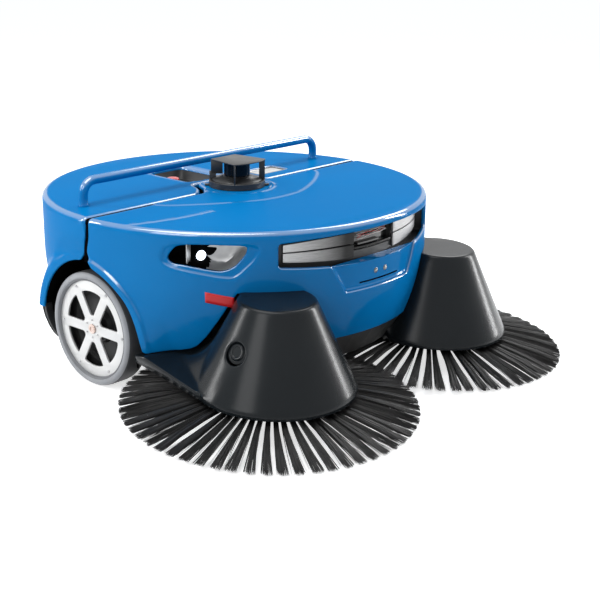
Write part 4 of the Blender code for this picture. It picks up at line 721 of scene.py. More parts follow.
def make_front_hood():
    roll = 0.0040
    right = roof_edge([(0, 0.066), (0.048, 0.066), (0.062, 0.030), (0.098, -SEAM_HALF)],
                      -SEAM_HALF, 0.010, roll)
    seam = [(-SEAM_HALF, WALL_TOP - 0.004)]
    seam += [(y - SEAM_HALF - 0.0022 * k / 3, z) for k, (y, z) in enumerate(JOG)]
    seam = rounded(seam + arch_front[2:4], 0.009, closed=False)[:-1]
    right += wall_line(seam, roll)[:-1]
    right += wall_line(arch_front[3:], EDGE_ROLL)[1:]
    right += wall_line(side_hem, EDGE_ROLL)[1:]
    right += wall_line([(-0.2960, 0.2300), (-0.3020, FRONT_HEM)], EDGE_ROLL)
    end = girth_at(-0.3020, FRONT_HEM)
    right += [(*on_wall(end * (1 - k / 60), FRONT_HEM), EDGE_ROLL) for k in range(1, 61)]

    holes = [[(*on_wall(g, z), SLOT_ROLL) for g, z in grown(slot_outline(), SLOT_ROLL)]]
    guides = []
    for side in (-1, 1):
        loop = resample(grown(lamp_loops[side], LAMP_ROLL), 0.0025, True)
        holes.append([(*on_wall(g, z), LAMP_ROLL) for g, z in loop])
        loop = resample(lid_loops[side], 0.0025, True)
        for shift in (0, -0.0016, -0.0036, -0.0062):
            line = [p for p in grown(loop, shift)
                    if nearest(p, lamp_loops[side]) > LAMP_ROLL + 0.0012]
            guides += runs_of([on_wall(g, z) for g, z in line], 0.006)
    for away in (0.0070, 0.0095, 0.0112, 0.0130, 0.0150, 0.0172, 0.0195):
        reach = ARCH_RADIUS + away
        run = [(WHEEL_Y + reach * cos(a), WHEEL_Z + reach * sin(a))
               for a in [radians(d) for d in range(96, 190, 2)]]
        run = [(y, z) for y, z in run if y < -0.014 and z > 0.112]
        for side in (-1, 1):
            guides.append([on_wall(side * girth_at(y, z), z) for y, z in run])
    for shift in (-0.0045, -0.0022, 0, 0.0022, 0.0045):
        guides.append(shifted(boss_line, shift, closed=False))
        guides.append(shifted(crease_line, shift, closed=False))
    for ring in (0.069, 0.0725, 0.076, 0.0795, 0.083):
        places = [(ring * cos(a), SCANNER_Y + ring * sin(a))
                  for a in [radians(k * 4) for k in range(91)]]
        guides += runs_of([p for p in places if p[1] < -0.012 or abs(p[0]) < 0.04], 0.02)
    return finished_skin(both_halves(right), holes, guides, front_surface,
                         [p for p in skin_grid() if p[1] < 0.09], 0.0022)


piece("front_hood_shell", make_front_hood(), blue_paint, "chassis", ["front_hood"],
      skin=SKIN)

# ------------------------------------------------------------------ flank stripe
# A plain red stripe is stuck on the front hood's left flank under the headlight, and slopes
# down towards the front.
STRIPE_RED = (0.52, 0.008, 0.012), (0.60, 0.012, 0.018)
STRIPE_FROM, STRIPE_SPAN, STRIPE_COLUMNS = 53.4, 7.7, 12     # degrees round the body
STRIPE_LOW, STRIPE_FALL, STRIPE_ROW, STRIPE_PROUD = 0.2125, 0.010, 0.0068, 0.0005


def sheet(rows):
    """Faces between neighbouring rows of points."""
    bm = bmesh.new()
    rows = [[bm.verts.new(p) for p in row] for row in rows]
    for a, b in zip(rows, rows[1:]):
        for k in range(len(a) - 1):
            bm.faces.new((a[k], a[k + 1], b[k + 1], b[k]))
    return bm


def stripe_point(k, j):
    girth = -radians(STRIPE_FROM - STRIPE_SPAN * k / STRIPE_COLUMNS) * BODY_RADIUS
    u, v = on_wall(girth, STRIPE_LOW - STRIPE_FALL * k / STRIPE_COLUMNS + STRIPE_ROW * j)
    return front_surface(u, v) + Vector((u, v, 0)).normalized() * STRIPE_PROUD


def make_stripe():
    return sheet([[stripe_point(k, j) for k in range(STRIPE_COLUMNS + 1)] for j in range(4)])


stripe_red = plastic("stripe_red", *STRIPE_RED, (0.38, 0.48), 0.00001)
piece("flank_stripe", make_stripe(), stripe_red, "chassis", skin=0.0003)

# ------------------------------------------------------------------ rear hood
# The rear hood closes the round behind the seam.  Its roof has a hand recess and a window
# for the display with broad rolled edges; it swings up on two low hinges.
RECESS_AT, RECESS_SIZE, RECESS_CORNER = (0.005, 0.162), (0.110, 0.148), 0.020
MOUTH_AT, MOUTH_SIZE, MOUTH_ROLL = (0.0137, 0.166), (0.0926, 0.140), 0.0065
DISPLAY_AT, DISPLAY_SIZE, DISPLAY_CORNER = (0.1635, 0.0675), (0.091, 0.051), 0.012
DISPLAY_ROLL = 0.0030
# the roof dips beside the recess, over this width and down to this depth
DIP_WIDTH, DIP_DEPTH, DIP_END = 0.024, 0.0028, 0.010


def rounded_box(centre, size, corner, grow=0.0, segments=6):
    dx, dy = size[0] / 2 + grow, size[1] / 2 + grow
    corners = [(centre[0] + a * dx, centre[1] + b * dy)
               for a, b in ((-1, -1), (-1, 1), (1, 1), (1, -1))]
    return rounded(corners, max(corner + grow, 0.001), segments=segments)


def flank_dip(point):
    """Beside the recess the roof falls away gently towards its long edges."""
    if point.z < BODY_TOP - 0.0002:
        return 0.0
    out = abs(point.x - MOUTH_AT[0]) - MOUTH_SIZE[0] / 2
    past = abs(point.y - MOUTH_AT[1]) - MOUTH_SIZE[1] / 2 + DIP_END
    if out > DIP_WIDTH or past > DIP_END:
        return 0.0
    ends = smooth_step((DIP_END - past) / DIP_END)
    return DIP_DEPTH * smooth_step((DIP_WIDTH - out) / DIP_WIDTH) * ends


def rear_surface(u, v):
    point, normal = skin_point(u, v)
    return point + normal * (flare_relief(point) - flank_dip(point))


def make_rear_hood():
    right = roof_edge([(0, 0.075), (0.0542, 0.075), (0.0697, 0.0351), (0.1016, SEAM_HALF)],
                      SEAM_HALF, 0.012, 0.0075)
    seam = [(girth_at(SEAM_HALF + 0.0010, WALL_TOP), WALL_TOP - 0.004)]
    seam += [(girth_at(y + SEAM_HALF + 0.0010 + 0.0020 * k / 3, z), z)
             for k, (y, z) in enumerate(JOG)]
    seam = rounded(seam + arch_rear[2:4], 0.008, closed=False)[:-1]
    seam = resample(seam, 0.004)
    right += [(*on_wall(g, z), max(0.0016, 0.0060 - 0.0011 * i)) for i, (g, z) in
              enumerate(seam)][:-1]
    right += [(*on_wall(g, z), EDGE_ROLL) for g, z in resample(arch_rear[3:], 0.004)][1:]
    start = arch_rear[-1][0]
    right += [(*on_wall(start + (pi * BODY_RADIUS - start) * k / 90, REAR_HEM), EDGE_ROLL)
              for k in range(1, 91)]
    holes = []
    for centre, size, corner, edge in (
            (MOUTH_AT, MOUTH_SIZE, RECESS_CORNER, MOUTH_ROLL),
            (DISPLAY_AT, DISPLAY_SIZE, DISPLAY_CORNER, DISPLAY_ROLL)):
        loop = resample(rounded_box(centre, size, corner, edge), 0.004, True)
        holes.append([(x, y, edge) for x, y in loop])
    guides = []
    for out in (0.0100, 0.0135, 0.0170, 0.0205, DIP_WIDTH):
        x = MOUTH_SIZE[0] / 2 + out
        for side in (-1, 1):
            guides.append([(MOUTH_AT[0] + side * x, 0.096 + 0.0045 * k) for k in range(32)])
    for away in (0.004, 0.008, 0.0115, 0.015, 0.019, 0.024, 0.030, 0.037, 0.045, 0.054):
        for side in (-1, 1):
            run = [flare_spot(radians(a), away) for a in range(4, 86, 2)]
            run = [(side * g, z) for g, z in run if z > REAR_HEM + 0.007
                   and abs(g) > girth_at(0.026, z)]
            guides.append([on_wall(g, z) for g, z in run])
    return finished_skin(both_halves(right), holes, guides, rear_surface,
                         [p for p in skin_grid() if p[1] > -0.01])


piece("rear_hood_shell", make_rear_hood(), blue_paint, "rear_hood", ["rear_hood"],
      skin=SKIN)

# ------------------------------------------------------------------ handle bar
# One steel tube, bent at both ends, standing on the rear hood and sprayed with it.  A small
# weld runs round each foot.
HANDLE_RADIUS, HANDLE_HALF, HANDLE_Y, HANDLE_TOP, HANDLE_BEND = 0.009, 0.338, 0.083, 0.392, 0.028
WELD = 0.0022


def carry(made):
    """The new open edges and vertices of an extrusion or spin."""
    edges = [g for g in made if isinstance(g, bmesh.types.BMEdge)]
    verts = [g for g in made if isinstance(g, bmesh.types.BMVert)]
    return edges, verts


def make_handle():
    bm = bmesh.new()
    foot = Matrix.Translation((-HANDLE_HALF, HANDLE_Y, BODY_TOP + 0.0003))
    bmesh.ops.create_circle(bm, segments=28, radius=HANDLE_RADIUS + WELD, matrix=foot)
    edges = bm.edges[:]
    bend_z = HANDLE_TOP - HANDLE_BEND
    for radius, z in ((HANDLE_RADIUS + WELD, BODY_TOP + 0.0020), (HANDLE_RADIUS, BODY_TOP + 0.0050),
                      (HANDLE_RADIUS, bend_z)):
        edges, verts = carry(bmesh.ops.extrude_edge_only(bm, edges=edges)["geom"])
        middle = Vector((-HANDLE_HALF, HANDLE_Y, z))
        for vert in verts:
            away = vert.co - middle
            vert.co = middle + sideways(away).normalized() * radius
    made = bmesh.ops.spin(bm, geom=edges, cent=(-HANDLE_HALF + HANDLE_BEND, 0, bend_z),
                          axis=(0, 1, 0), angle=pi / 2, steps=14)
    edges, verts = carry(made["geom_last"])
    edges, verts = carry(bmesh.ops.extrude_edge_only(bm, edges=edges)["geom"])
    bmesh.ops.translate(bm, vec=(HANDLE_HALF - HANDLE_BEND, 0, 0), verts=verts)
    bmesh.ops.mirror(bm, geom=bm.verts[:] + bm.edges[:] + bm.faces[:], axis="X",
                     merge_dist=0.0001)
    bmesh.ops.recalc_face_normals(bm, faces=bm.faces)
    return bm


piece("handle_tube", make_handle(), blue_paint, "rear_hood", ["handle_bar"])

# ------------------------------------------------------------------ hand recess and display
# A black tray hangs under the recess and holds the red stop button in its collar; beside
# it a glass window covers the display, coloured pale as a painted reflection.
black_plastic = plastic("black_plastic", (0.010, 0.0105, 0.011), (0.016, 0.0165, 0.017),
                        (0.42, 0.55), 0.00006, 1400, 8)
gloss_black = plastic("gloss_black", (0.004, 0.004, 0.0045), (0.007, 0.007, 0.008),
                      (0.10, 0.16), 0.00001, 300, 12, coat=0.4)
red_plastic = plastic("red_plastic", (0.50, 0.006, 0.008), (0.60, 0.012, 0.012), (0.25, 0.35),
                      0.00003, 900, 30, coat=0.5)
# the display glass's pale colour is a painted reflection
screen_glass_painted_reflection = plastic("screen_glass_painted_reflection", (0.52, 0.53, 0.50), (0.66, 0.67, 0.64), (0.08, 0.16),
                       0.00001, 300, 30, coat=0.6)
RECESS_FLOOR = BODY_TOP - 0.028
STOP_AT = (-0.016, 0.178)


def turned(profile, steps, pose):
    """Spin a (radius, height) profile about Z and bring it to its place."""
    bm = bmesh.new()
    verts = [bm.verts.new((r, 0, z)) for r, z in profile]
    edges = [bm.edges.new(pair) for pair in zip(verts, verts[1:])]
    bmesh.ops.spin(bm, geom=verts + edges, cent=(0, 0, 0), axis=(0, 0, 1), angle=2 * pi,
                   steps=steps, use_merge=True)
    bmesh.ops.remove_doubles(bm, verts=bm.verts, dist=1e-6)
    bmesh.ops.recalc_face_normals(bm, faces=bm.faces)
    bmesh.ops.transform(bm, matrix=pose, verts=bm.verts)
    return bm


def add_to(bm, more):
    """Put another bmesh's shape into this one."""
    mesh = bpy.data.meshes.new("part")
    more.to_mesh(mesh)
    more.free()
    bm.from_mesh(mesh)
    bpy.data.meshes.remove(mesh)


def loft(loops, closed_low=True, closed_high=True):
    """Bridge outlines of equal count, given as lists of 3-D points, into one shape."""
    bm = bmesh.new()
    rings = [[bm.verts.new(p) for p in loop] for loop in loops]
    edges = [[bm.edges.new((ring[i - 1], ring[i])) for i in range(len(ring))] for ring in rings]
    for a, b in zip(edges, edges[1:]):
        bmesh.ops.bridge_loops(bm, edges=a + b)
    if closed_low:
        bm.faces.new(rings[0])
    if closed_high:
        bm.faces.new(rings[-1])
    bmesh.ops.recalc_face_normals(bm, faces=bm.faces)
    return bm


def level(outline, z):
    return [(x, y, z) for x, y in outline]


def make_recess():
    def outline(grow):
        return rounded_box(RECESS_AT, RECESS_SIZE, RECESS_CORNER, grow)

    lip = BODY_TOP - 0.0078
    tray = loft([level(outline(0.010), lip), level(outline(-0.0004), lip),
                 level(outline(-0.003), RECESS_FLOOR + 0.006),
                 level(outline(-0.006), RECESS_FLOOR + 0.0012),
                 level(outline(-0.012), RECESS_FLOOR)], closed_low=False)
    face_out(tray, upwards)
    piece("recess_tray_shell", tray, black_plastic, "rear_hood", ["recess_tray"],
          skin=0.0015)

    at = Matrix.Translation((*STOP_AT, RECESS_FLOOR))
    collar = turned([(0.0090, 0.0003), (0.0170, 0.0003), (0.0170, 0.0050), (0.0160, 0.0062),
                     (0.0095, 0.0062), (0.0090, 0.0056), (0.0090, 0.0003)], 40, at)
    piece("stop_collar_ring", collar, gloss_black, "rear_hood", ["stop_collar"])
    knob = turned([(0, 0.0052), (0.0080, 0.0052), (0.0080, 0.0120), (0.0130, 0.0120),
                   (0.0143, 0.0130), (0.0145, 0.0170), (0.0135, 0.0200), (0.0105, 0.0214),
                   (0.0060, 0.0208), (0, 0.0200)], 40, at)
    piece("stop_knob", knob, red_plastic, "stop_button", ["stop_button"])

    def pane(grow):
        return rounded_box(DISPLAY_AT, DISPLAY_SIZE, DISPLAY_CORNER, grow)

    top = BODY_TOP - 0.0015
    frame_ring = loft([level(pane(-0.0007), top - 0.008), level(pane(-0.0007), top - 0.0006),
                       level(pane(-0.0013), top), level(pane(-0.0060), top),
                       level(pane(-0.0065), top - 0.0008)], False, False)
    piece("display_frame", frame_ring, gloss_black, "rear_hood", ["display_panel"])
    # the glass's pale colour is a painted reflection
    glass = loft([level(pane(-0.0060), top - 0.004), level(pane(-0.0060), top - 0.0010)])
    piece("display_glass", glass, screen_glass_painted_reflection, "rear_hood", ["display_panel"])


make_recess()

# ------------------------------------------------------------------ seam strips
# A dead black strip sits in the gap between the hoods, down both walls and across the roof's
# outer parts, as painted shade in the seam.
# dull black with no gloss; where it sits in the seam it is painted shade
dull_black_and_seam_shade = plastic("dull_black_and_seam_shade", (0.0015, 0.0015, 0.0016), (0.0030, 0.0030, 0.0032),
                     (0.80, 0.92), 0.00010, 1200, 30, specular=0.0)
STRIP_HALF, STRIP_DEPTH, STRIP_SUNK, STRIP_FOOT = 0.0046, 0.006, 0.0034, 0.2560
# the roof's part, as (distance from the middle, depth under the roof) and (y, thickness)
ROOF_RUN = [(0.104, 0.0026), (0.3895, 0.0026), (0.3935, 0.0036), (0.3962, 0.0060),
            (0.3966, 0.0100)]
ROOF_SECTION = ((-0.0048, 0), (0.0062, 0), (0.0062, 0.003), (-0.0048, 0.003))


def make_seam_strip(side_name, side):
    reach = BODY_RADIUS - STRIP_SUNK
    section = ((0, -STRIP_HALF), (0, STRIP_HALF), (STRIP_DEPTH, STRIP_HALF),
               (STRIP_DEPTH, -STRIP_HALF))
    strip = loft([[(side * (reach - depth), y + across, z) for depth, across in section]
                  for y, z in [(0.0, WALL_TOP + 0.0005)] + JOG + [(JOG[-1][0], STRIP_FOOT)]])
    add_to(strip, loft([[(side * x, y, BODY_TOP - down - depth) for y, depth in ROOF_SECTION]
                        for x, down in ROOF_RUN]))
    bmesh.ops.recalc_face_normals(strip, faces=strip.faces)
    # the strip is painted shade in the gap between the hoods
    piece(f"seam_shade_strip_{side_name}", strip, dull_black_and_seam_shade, "chassis", soft_edge=30)


for side_name, side in SIDES:
    make_seam_strip(side_name, side)

# ------------------------------------------------------------------ sensor slot
# A black housing behind the slot carries two brushed steel bands, one over the other.  An
# open window in their middle shows the camera with its ledge and its thin leads.


def make_band_metal():
    """Brushed steel with a painted reflection: light at the band's left end, painted dark from the
    left part of the band up to the camera's window, and painted light again right of it.
    """
    made, tree, shader = material("band_steel_painted_reflection")
    streaks = noise(tree, 60, 4, 0.6, (1, 1, 14)).outputs["Fac"]
    tone = ramp(tree, streaks, 0.30, 0.70, (0.30, 0.30, 0.30), (0.46, 0.46, 0.46)).outputs[0]
    across = node(tree, "ShaderNodeSeparateXYZ",
                  {0: node(tree, "ShaderNodeTexCoord").outputs["Object"]}).outputs[0]
    place = node(tree, "ShaderNodeMath", {0: across, 1: 0.5}, operation="ADD").outputs[0]
    # painted reflection: the colour is scaled along X, light at the left end, dark up to the
    # window, light again right of it
    painted_reflection_left = ramp(tree, place, 0.300, 0.420, 1.0, 0.05)
    painted_light_rise = ramp(tree, place, 0.550, 0.568, 0.0, 0.85)
    light = node(tree, "ShaderNodeVectorMath", {0: painted_reflection_left.outputs[0], 1: painted_light_rise.outputs[0]},
                 operation="ADD")
    both = node(tree, "ShaderNodeVectorMath", {0: tone, 1: light.outputs[0]},
                operation="MULTIPLY")
    tree.links.new(both.outputs[0], shader.inputs["Base Color"])
    tree.links.new(ramp(tree, streaks, 0.30, 0.70, 0.30, 0.40).outputs[0],
                   shader.inputs["Roughness"])
    bump(tree, shader, streaks, 0.5, 0.0001)
    set_inputs(shader, {"Metallic": 0.85, "Anisotropic": 0.4})
    return made


band_steel_painted_reflection = make_band_metal()
BAND_RADIUS, HOUSING_RADIUS = BODY_RADIUS - 0.0215, BODY_RADIUS - 0.0270
BAND_END, WINDOW_END = radians(32.0) * BODY_RADIUS, radians(9.1) * BODY_RADIUS
# the bands' edges as shares of the slot's height
BAND_MIDDLE, BAND_PITCH, BAND_LOW, BAND_HIGH = 0.5157, 0.0190, 0.0787, 0.8900


def round_wall(girth, z, radius):
    turn = girth / BODY_RADIUS
    return Vector((radius * sin(turn), -radius * cos(turn), z))


def curved_bar(low, high, outer, inner, start, end, steps=40, edge=0.0006):
    """A bar that follows the body's round between two girths."""
    loops = []
    for k in range(steps + 1):
        girth = start + (end - start) * k / steps
        share = (girth / SLOT_END) ** 2
        z0, z1 = low(share), high(share)
        corners = [(outer, z0 + edge), (outer, z1 - edge), (outer - edge, z1), (inner, z1),
                   (inner, z0), (outer - edge, z0)]
        loops.append([round_wall(girth, z, r) for r, z in corners])
    return loft(loops)


def at_share(height):
    """A line along the slot at a share of its height; the slot grows lower to its ends."""
    return lambda share: (SLOT_LOW + (SLOT_HIGH - SLOT_LOW) * height
                          + share * (0.012 * (1 - height) - 0.013 * height))


def at_height(z):
    return lambda share: z


def make_bands():
    for name, low, high in (("lower", BAND_LOW, BAND_MIDDLE - BAND_PITCH),
                            ("upper", BAND_MIDDLE + BAND_PITCH, BAND_HIGH)):
        bar = bmesh.new()
        for side in (-1, 1):
            add_to(bar, curved_bar(at_share(low), at_share(high), BAND_RADIUS,
                                   BAND_RADIUS - 0.0040, side * WINDOW_END, side * BAND_END))
        bmesh.ops.recalc_face_normals(bar, faces=bar.faces)
        piece(f"steel_band_{name}", bar, band_steel_painted_reflection, "chassis", [f"sensor_band_{name}"])


def floor_point(girth, z):
    return round_wall(girth, z, HOUSING_RADIUS)


def make_housing():
    """Floor behind the bands, its walls out to the hood, and a box round the window."""
    window = WINDOW_END
    rim = rounded([(-SLOT_END - 0.012, SLOT_LOW - 0.004), (SLOT_END + 0.012, SLOT_LOW - 0.004),
                   (SLOT_END + 0.012, SLOT_HIGH + 0.003), (-SLOT_END - 0.012, SLOT_HIGH + 0.003)],
                  0.006)
    hole = rounded([(-window + 0.002, 0.2835), (window - 0.002, 0.2835),
                    (window - 0.002, 0.3175), (-window + 0.002, 0.3175)], 0.003)
    grid = [(0.006 * i, 0.262 + 0.006 * j) for i in range(-44, 45) for j in range(13)]
    back, _ = moulded_skin([(*p, 0) for p in resample(rim, 0.006, True)],
                           [[(*p, 0.001) for p in resample(hole, 0.004, True)]], [],
                           floor_point, grid)
    face_out(back, sideways)
    edges = [e for e in back.edges if e.is_boundary]
    outer = [e for e in edges if abs(e.verts[0].co.z - 0.3) > 0.019
             or abs(e.verts[0].co.x) > 0.07]
    for reach, group in ((0.0195, outer), (-0.0150, [e for e in edges if e not in outer])):
        made = bmesh.ops.extrude_edge_only(back, edges=group)["geom"]
        for vert in carry(made)[1]:
            vert.co += sideways(vert.co).normalized() * reach
    piece("slot_housing", back, black_plastic, "chassis", ["sensor_housing"])


def make_camera_bars():
    """A dark bar with two ribs on it, and a steel ledge below it, whose light and dark come from
    the bands' painted reflection.
    """
    window = WINDOW_END
    camera = curved_bar(at_height(0.2840), at_height(0.3170), BODY_RADIUS - 0.0360,
                        BODY_RADIUS - 0.0470, -window + 0.003, window - 0.003, 12)
    for low, high, start, end in ((0.2920, 0.2965, -0.7, 0.35), (0.3075, 0.3105, -0.4, 0.8)):
        add_to(camera, curved_bar(at_height(low), at_height(high), BODY_RADIUS - 0.0300,
                                  BODY_RADIUS - 0.0362, start * window, end * window, 8))
    ledge = curved_bar(at_height(0.2862), at_height(0.2905), BODY_RADIUS - 0.0245,
                       BODY_RADIUS - 0.0370, -window + 0.004, window - 0.004, 12)
    piece("camera_bar", camera, gloss_black, "chassis", ["camera_module"])
    piece("camera_ledge", ledge, band_steel_painted_reflection, "chassis", ["camera_module"])


make_bands()
make_housing()
make_camera_bars()
red_wire = plastic("lead_red", (0.45, 0.02, 0.02), (0.62, 0.05, 0.04), (0.35, 0.5), 0.00002)
white_wire = plastic("lead_white", (0.62, 0.60, 0.58), (0.75, 0.74, 0.72), (0.35, 0.5), 0.00002)
LEADS = 5


def make_leads():
    """Thin leads that cross the window side by side, every second one red."""
    dice = Random(7)
    bms = [bmesh.new(), bmesh.new()]
    for k in range(LEADS):
        z = 0.3050 + 0.0018 * k
        points = [(-0.046 + 0.0154 * i + dice.uniform(-0.002, 0.002),
                   z + dice.uniform(-0.0022, 0.0022) + 0.0008 * i) for i in range(7)]
        loops = []
        for g, height in smooth_run(points, 4, closed=False):
            centre = round_wall(g, min(height, 0.3155), BODY_RADIUS - 0.0300 - 0.0004 * k)
            loops.append([centre + Vector((0, 0.00060 * cos(a), 0.00055 * sin(a)))
                          for a in [pi / 3 * i for i in range(6)]])
        add_to(bms[k % 2], loft(loops))
    for bm, finish, name in ((bms[1], red_wire, "red"), (bms[0], white_wire, "white")):
        bmesh.ops.recalc_face_normals(bm, faces=bm.faces)
        piece(f"camera_leads_{name}", bm, finish, "chassis", ["camera_module"])


make_leads()

# ------------------------------------------------------------------ dock recess
# A blue dish below the slot takes the charging station's nose: two spring contacts and a
# black slit sit in its floor.
DOCK_FLOOR = BODY_RADIUS - 0.0075
DOCK_WALL = 0.0075
contact_metal = plastic("contact_metal", (0.30, 0.30, 0.29), (0.42, 0.41, 0.39), (0.22, 0.34),
                        0.00002, 900, 40, metallic=0.6)
PIN_AT, PIN_Z = 0.0142, 0.2415


def dock_outline(grow):
    corners = [(-DOCK_FOOT, DOCK_LOW), (DOCK_FOOT, DOCK_LOW), (DOCK_TOP + 0.0195, 0.3000),
               (-DOCK_TOP - 0.0195, 0.3000)]
    return grown(rounded(corners, 0.0075), grow)


def make_dock():
    rim = resample(dock_outline(0.0050), 0.004, True)
    edge = [tuple(p[:2]) for p in dock_outline(0.0)]

    def dish_point(girth, z):
        place = (girth, z)
        depth = 0.0
        if inside(place, edge):
            depth = smooth_step(nearest_segment(place, edge) / DOCK_WALL)
        top = wall_radius(z) - 0.0042
        return round_wall(girth, z, top + (DOCK_FLOOR - top) * depth)

    guides = []
    for shift in (0.0005, -0.0012, -0.0028, -0.0045, -0.0060, -0.0076):
        line = [p for p in grown(resample(edge, 0.003, True), shift) if p[1] < 0.264]
        guides += runs_of(line, 0.012)
    grid = [(0.006 * i, 0.2105 + 0.006 * j) for i in range(-22, 23) for j in range(10)]
    bm, _ = moulded_skin([(*p, 0) for p in rim if p[1] < 0.2690], [], guides, dish_point, grid,
                         0.0026)
    face_out(bm, sideways)
    piece("dock_dish", bm, blue_paint, "chassis", ["dock_plate"], skin=0.0012)
    slit = curved_bar(at_height(0.2232), at_height(0.2262), DOCK_FLOOR + 0.0004,
                      DOCK_FLOOR - 0.0030, -0.059, 0.059, 10, 0.0003)
    piece("dock_slit", slit, dull_black_and_seam_shade, "chassis", ["dock_plate"])
    for side_name, side in SIDES:
        pin = turned([(0, 0.0024), (0.0022, 0.0022), (0.0033, 0.0012), (0.0035, -0.0004),
                      (0.0050, -0.0002), (0.0052, 0.0004), (0.0046, 0.0008), (0.0040, -0.001)],
                     28, Matrix.Translation((side * PIN_AT, -DOCK_FLOOR, PIN_Z))
                     @ Matrix.Rotation(pi / 2, 4, "X"))
        piece(f"dock_pin_{side_name}", pin, contact_metal, "chassis",
              [f"dock_contact_{side_name}"])


make_dock()

# ------------------------------------------------------------------ headlights
# Behind each almond opening is a black bowl whose half nearest the front is a bright
# reflector; a round white lamp stands in it, with a thin bright fin beside it.
reflector = plastic("reflector", (0.30, 0.305, 0.31), (0.42, 0.425, 0.43), (0.36, 0.46), 0.00003,
                    700, 25, metallic=0.75)


def make_lamp_glow():
    """White lit lamp that turns a little blue towards its rim."""
    made, tree, shader = material("lamp_glow")
    facing = node(tree, "ShaderNodeLayerWeight", {"Blend": 0.35}).outputs["Facing"]
    speckle = noise(tree, 500, 2).outputs["Fac"]
    for key, source, low, high, dark, light in (
            ("Emission Color", facing, 0.1, 0.9, (1.0, 1.0, 1.0), (0.70, 0.82, 1.0)),
            ("Roughness", speckle, 0.3, 0.7, 0.08, 0.16),
            ("Base Color", speckle, 0.3, 0.7, (0.80, 0.85, 0.92), (0.90, 0.94, 1.0))):
        tree.links.new(ramp(tree, source, low, high, dark, light).outputs[0], shader.inputs[key])
    bump(tree, shader, speckle, 0.3, 0.0001)
    set_inputs(shader, {"Emission Strength": 4.0})
    return made


lamp_glow = make_lamp_glow()
LAMP_TURN, LAMP_Z, LAMP_SUNK = radians(55.6), 0.2900, 0.0545
# how far and how deep the bowl's rings lie, from the mouth to the bottom
BOWL_RINGS = ((1.10, 0.0105), (1.015, 0.0110), (0.99, 0.020), (0.94, 0.034), (0.86, 0.043),
              (0.70, 0.047), (0.35, 0.048))


def make_headlight(side_name, side):
    middle = (side * LAMP_TURN * BODY_RADIUS, 0.2985)
    bm = loft([[round_wall(middle[0] + (g - middle[0]) * share, middle[1] + (z - middle[1]) * share,
                           BODY_RADIUS - depth) for g, z in lamp_loops[side]]
               for share, depth in BOWL_RINGS], False, True)
    face_out(bm, sideways)
    bright = LAMP_TURN - radians(2.6)
    for face in bm.faces:
        centre = face.calc_center_median()
        turn = abs(atan2(centre.x, -centre.y))
        face.material_index = 1 if turn < bright and centre.xy.length < BODY_RADIUS - 0.012 else 0
    piece(f"headlight_shell_{side_name}", bm, [dull_black_and_seam_shade, reflector], "chassis",
          [f"headlight_bowl_{side_name}"], skin=0.0008)
    pose = (Matrix.Rotation(side * LAMP_TURN, 4, "Z")
            @ Matrix.Translation((0, -BODY_RADIUS + LAMP_SUNK, LAMP_Z))
            @ Matrix.Rotation(pi / 2, 4, "X"))
    lamp = turned([(0, 0.0235), (0.0034, 0.0228), (0.0062, 0.0208), (0.0078, 0.0180),
                   (0.0082, 0.0150), (0.0082, 0.0040), (0, 0.0040)], 36, pose)
    piece(f"lamp_dome_{side_name}", lamp, lamp_glow, "chassis", [f"headlight_lamp_{side_name}"])
    fin = curved_bar(at_height(0.2800), at_height(0.3190), BODY_RADIUS - 0.0150,
                     BODY_RADIUS - 0.0400, side * radians(58.6) * BODY_RADIUS,
                     side * radians(58.9) * BODY_RADIUS, 2, 0.0003)
    piece(f"lamp_fin_{side_name}", fin, reflector, "chassis", [f"headlight_bowl_{side_name}"])


for side_name, side in SIDES:
    make_headlight(side_name, side)

# ------------------------------------------------------------------ brush covers
# Each side brush runs under one moulded charcoal cone whose foot flows back into the flat
# arm that carries it.  A round cap closes the screw hole in its flank.
cover_plastic = plastic("cover_plastic", (0.0050, 0.0075, 0.0095), (0.0085, 0.0110, 0.0130),
                        (0.21, 0.26), 0.0001, 1700, 4, specular=0.20, relief=0.35)
BRUSH_AT = Vector((0.2475, -0.333, 0.017))
COVER_SHIFT = Vector((-0.002, -0.008, 0))
COVER_BASE, COVER_HEIGHT = 0.040, 0.173
COVER_RIM, COVER_TOP, COVER_EDGE, COVER_BAND = 0.1545, 0.0755, 0.010, 0.006
ARM_OUTLINE = [(0.3985, -0.340), (0.3880, -0.116), (0.3800, -0.106), (0.3020, -0.112),
               (0.1280, -0.250), (0.1050, -0.290)]
# section of the fairing between cone and arm, as (distance from the axis, height)
FAIRING = [(0.0730, 0.1540), (0.0843, 0.1370), (0.1023, 0.1060), (0.1195, 0.0800),
           (0.1322, 0.0640), (0.1459, 0.0520), (0.1622, 0.0435), (0.1866, 0.0390),
           (0.2520, 0.0330)]
ARM_EDGE = 0.004
CONE_LEAN = atan((COVER_RIM - COVER_TOP) / (COVER_HEIGHT - COVER_BAND))
brush_frame = (Matrix.Translation(BRUSH_AT)
               @ Euler((radians(3.3), radians(0.95), 0)).to_matrix().to_4x4())
cover_frame = brush_frame @ Matrix.Translation(COVER_SHIFT)


def local_plane(point, normal):
    """Height over the cover's base of a plane of the machine, as a function of place."""
    p = cover_frame.inverted() @ Vector(point)
    n = cover_frame.to_3x3().inverted() @ Vector(normal)
    return lambda x, y: p.z - (n.x * (x - p.x) + n.y * (y - p.y)) / n.z - COVER_BASE


plate_rear = local_plane((0, -0.115, ARCH_END - 0.0042), (0, 0.190, 1))
plate_side = local_plane((0.390, -0.146, 0.098), (0.200, -0.181, 1))
fairing_side = local_plane((0.3803, -0.2767, 0.072), (1.570, 0.444, 1))
arm_under = local_plane((0, -0.146, 0.080), (0, 0.137, -1))
fairing_line = smooth_run(FAIRING, 8, closed=False)


def soft_max(a, b, reach):
    share = max(0.0, reach - abs(a - b)) / reach
    return max(a, b) + share * share * reach / 4


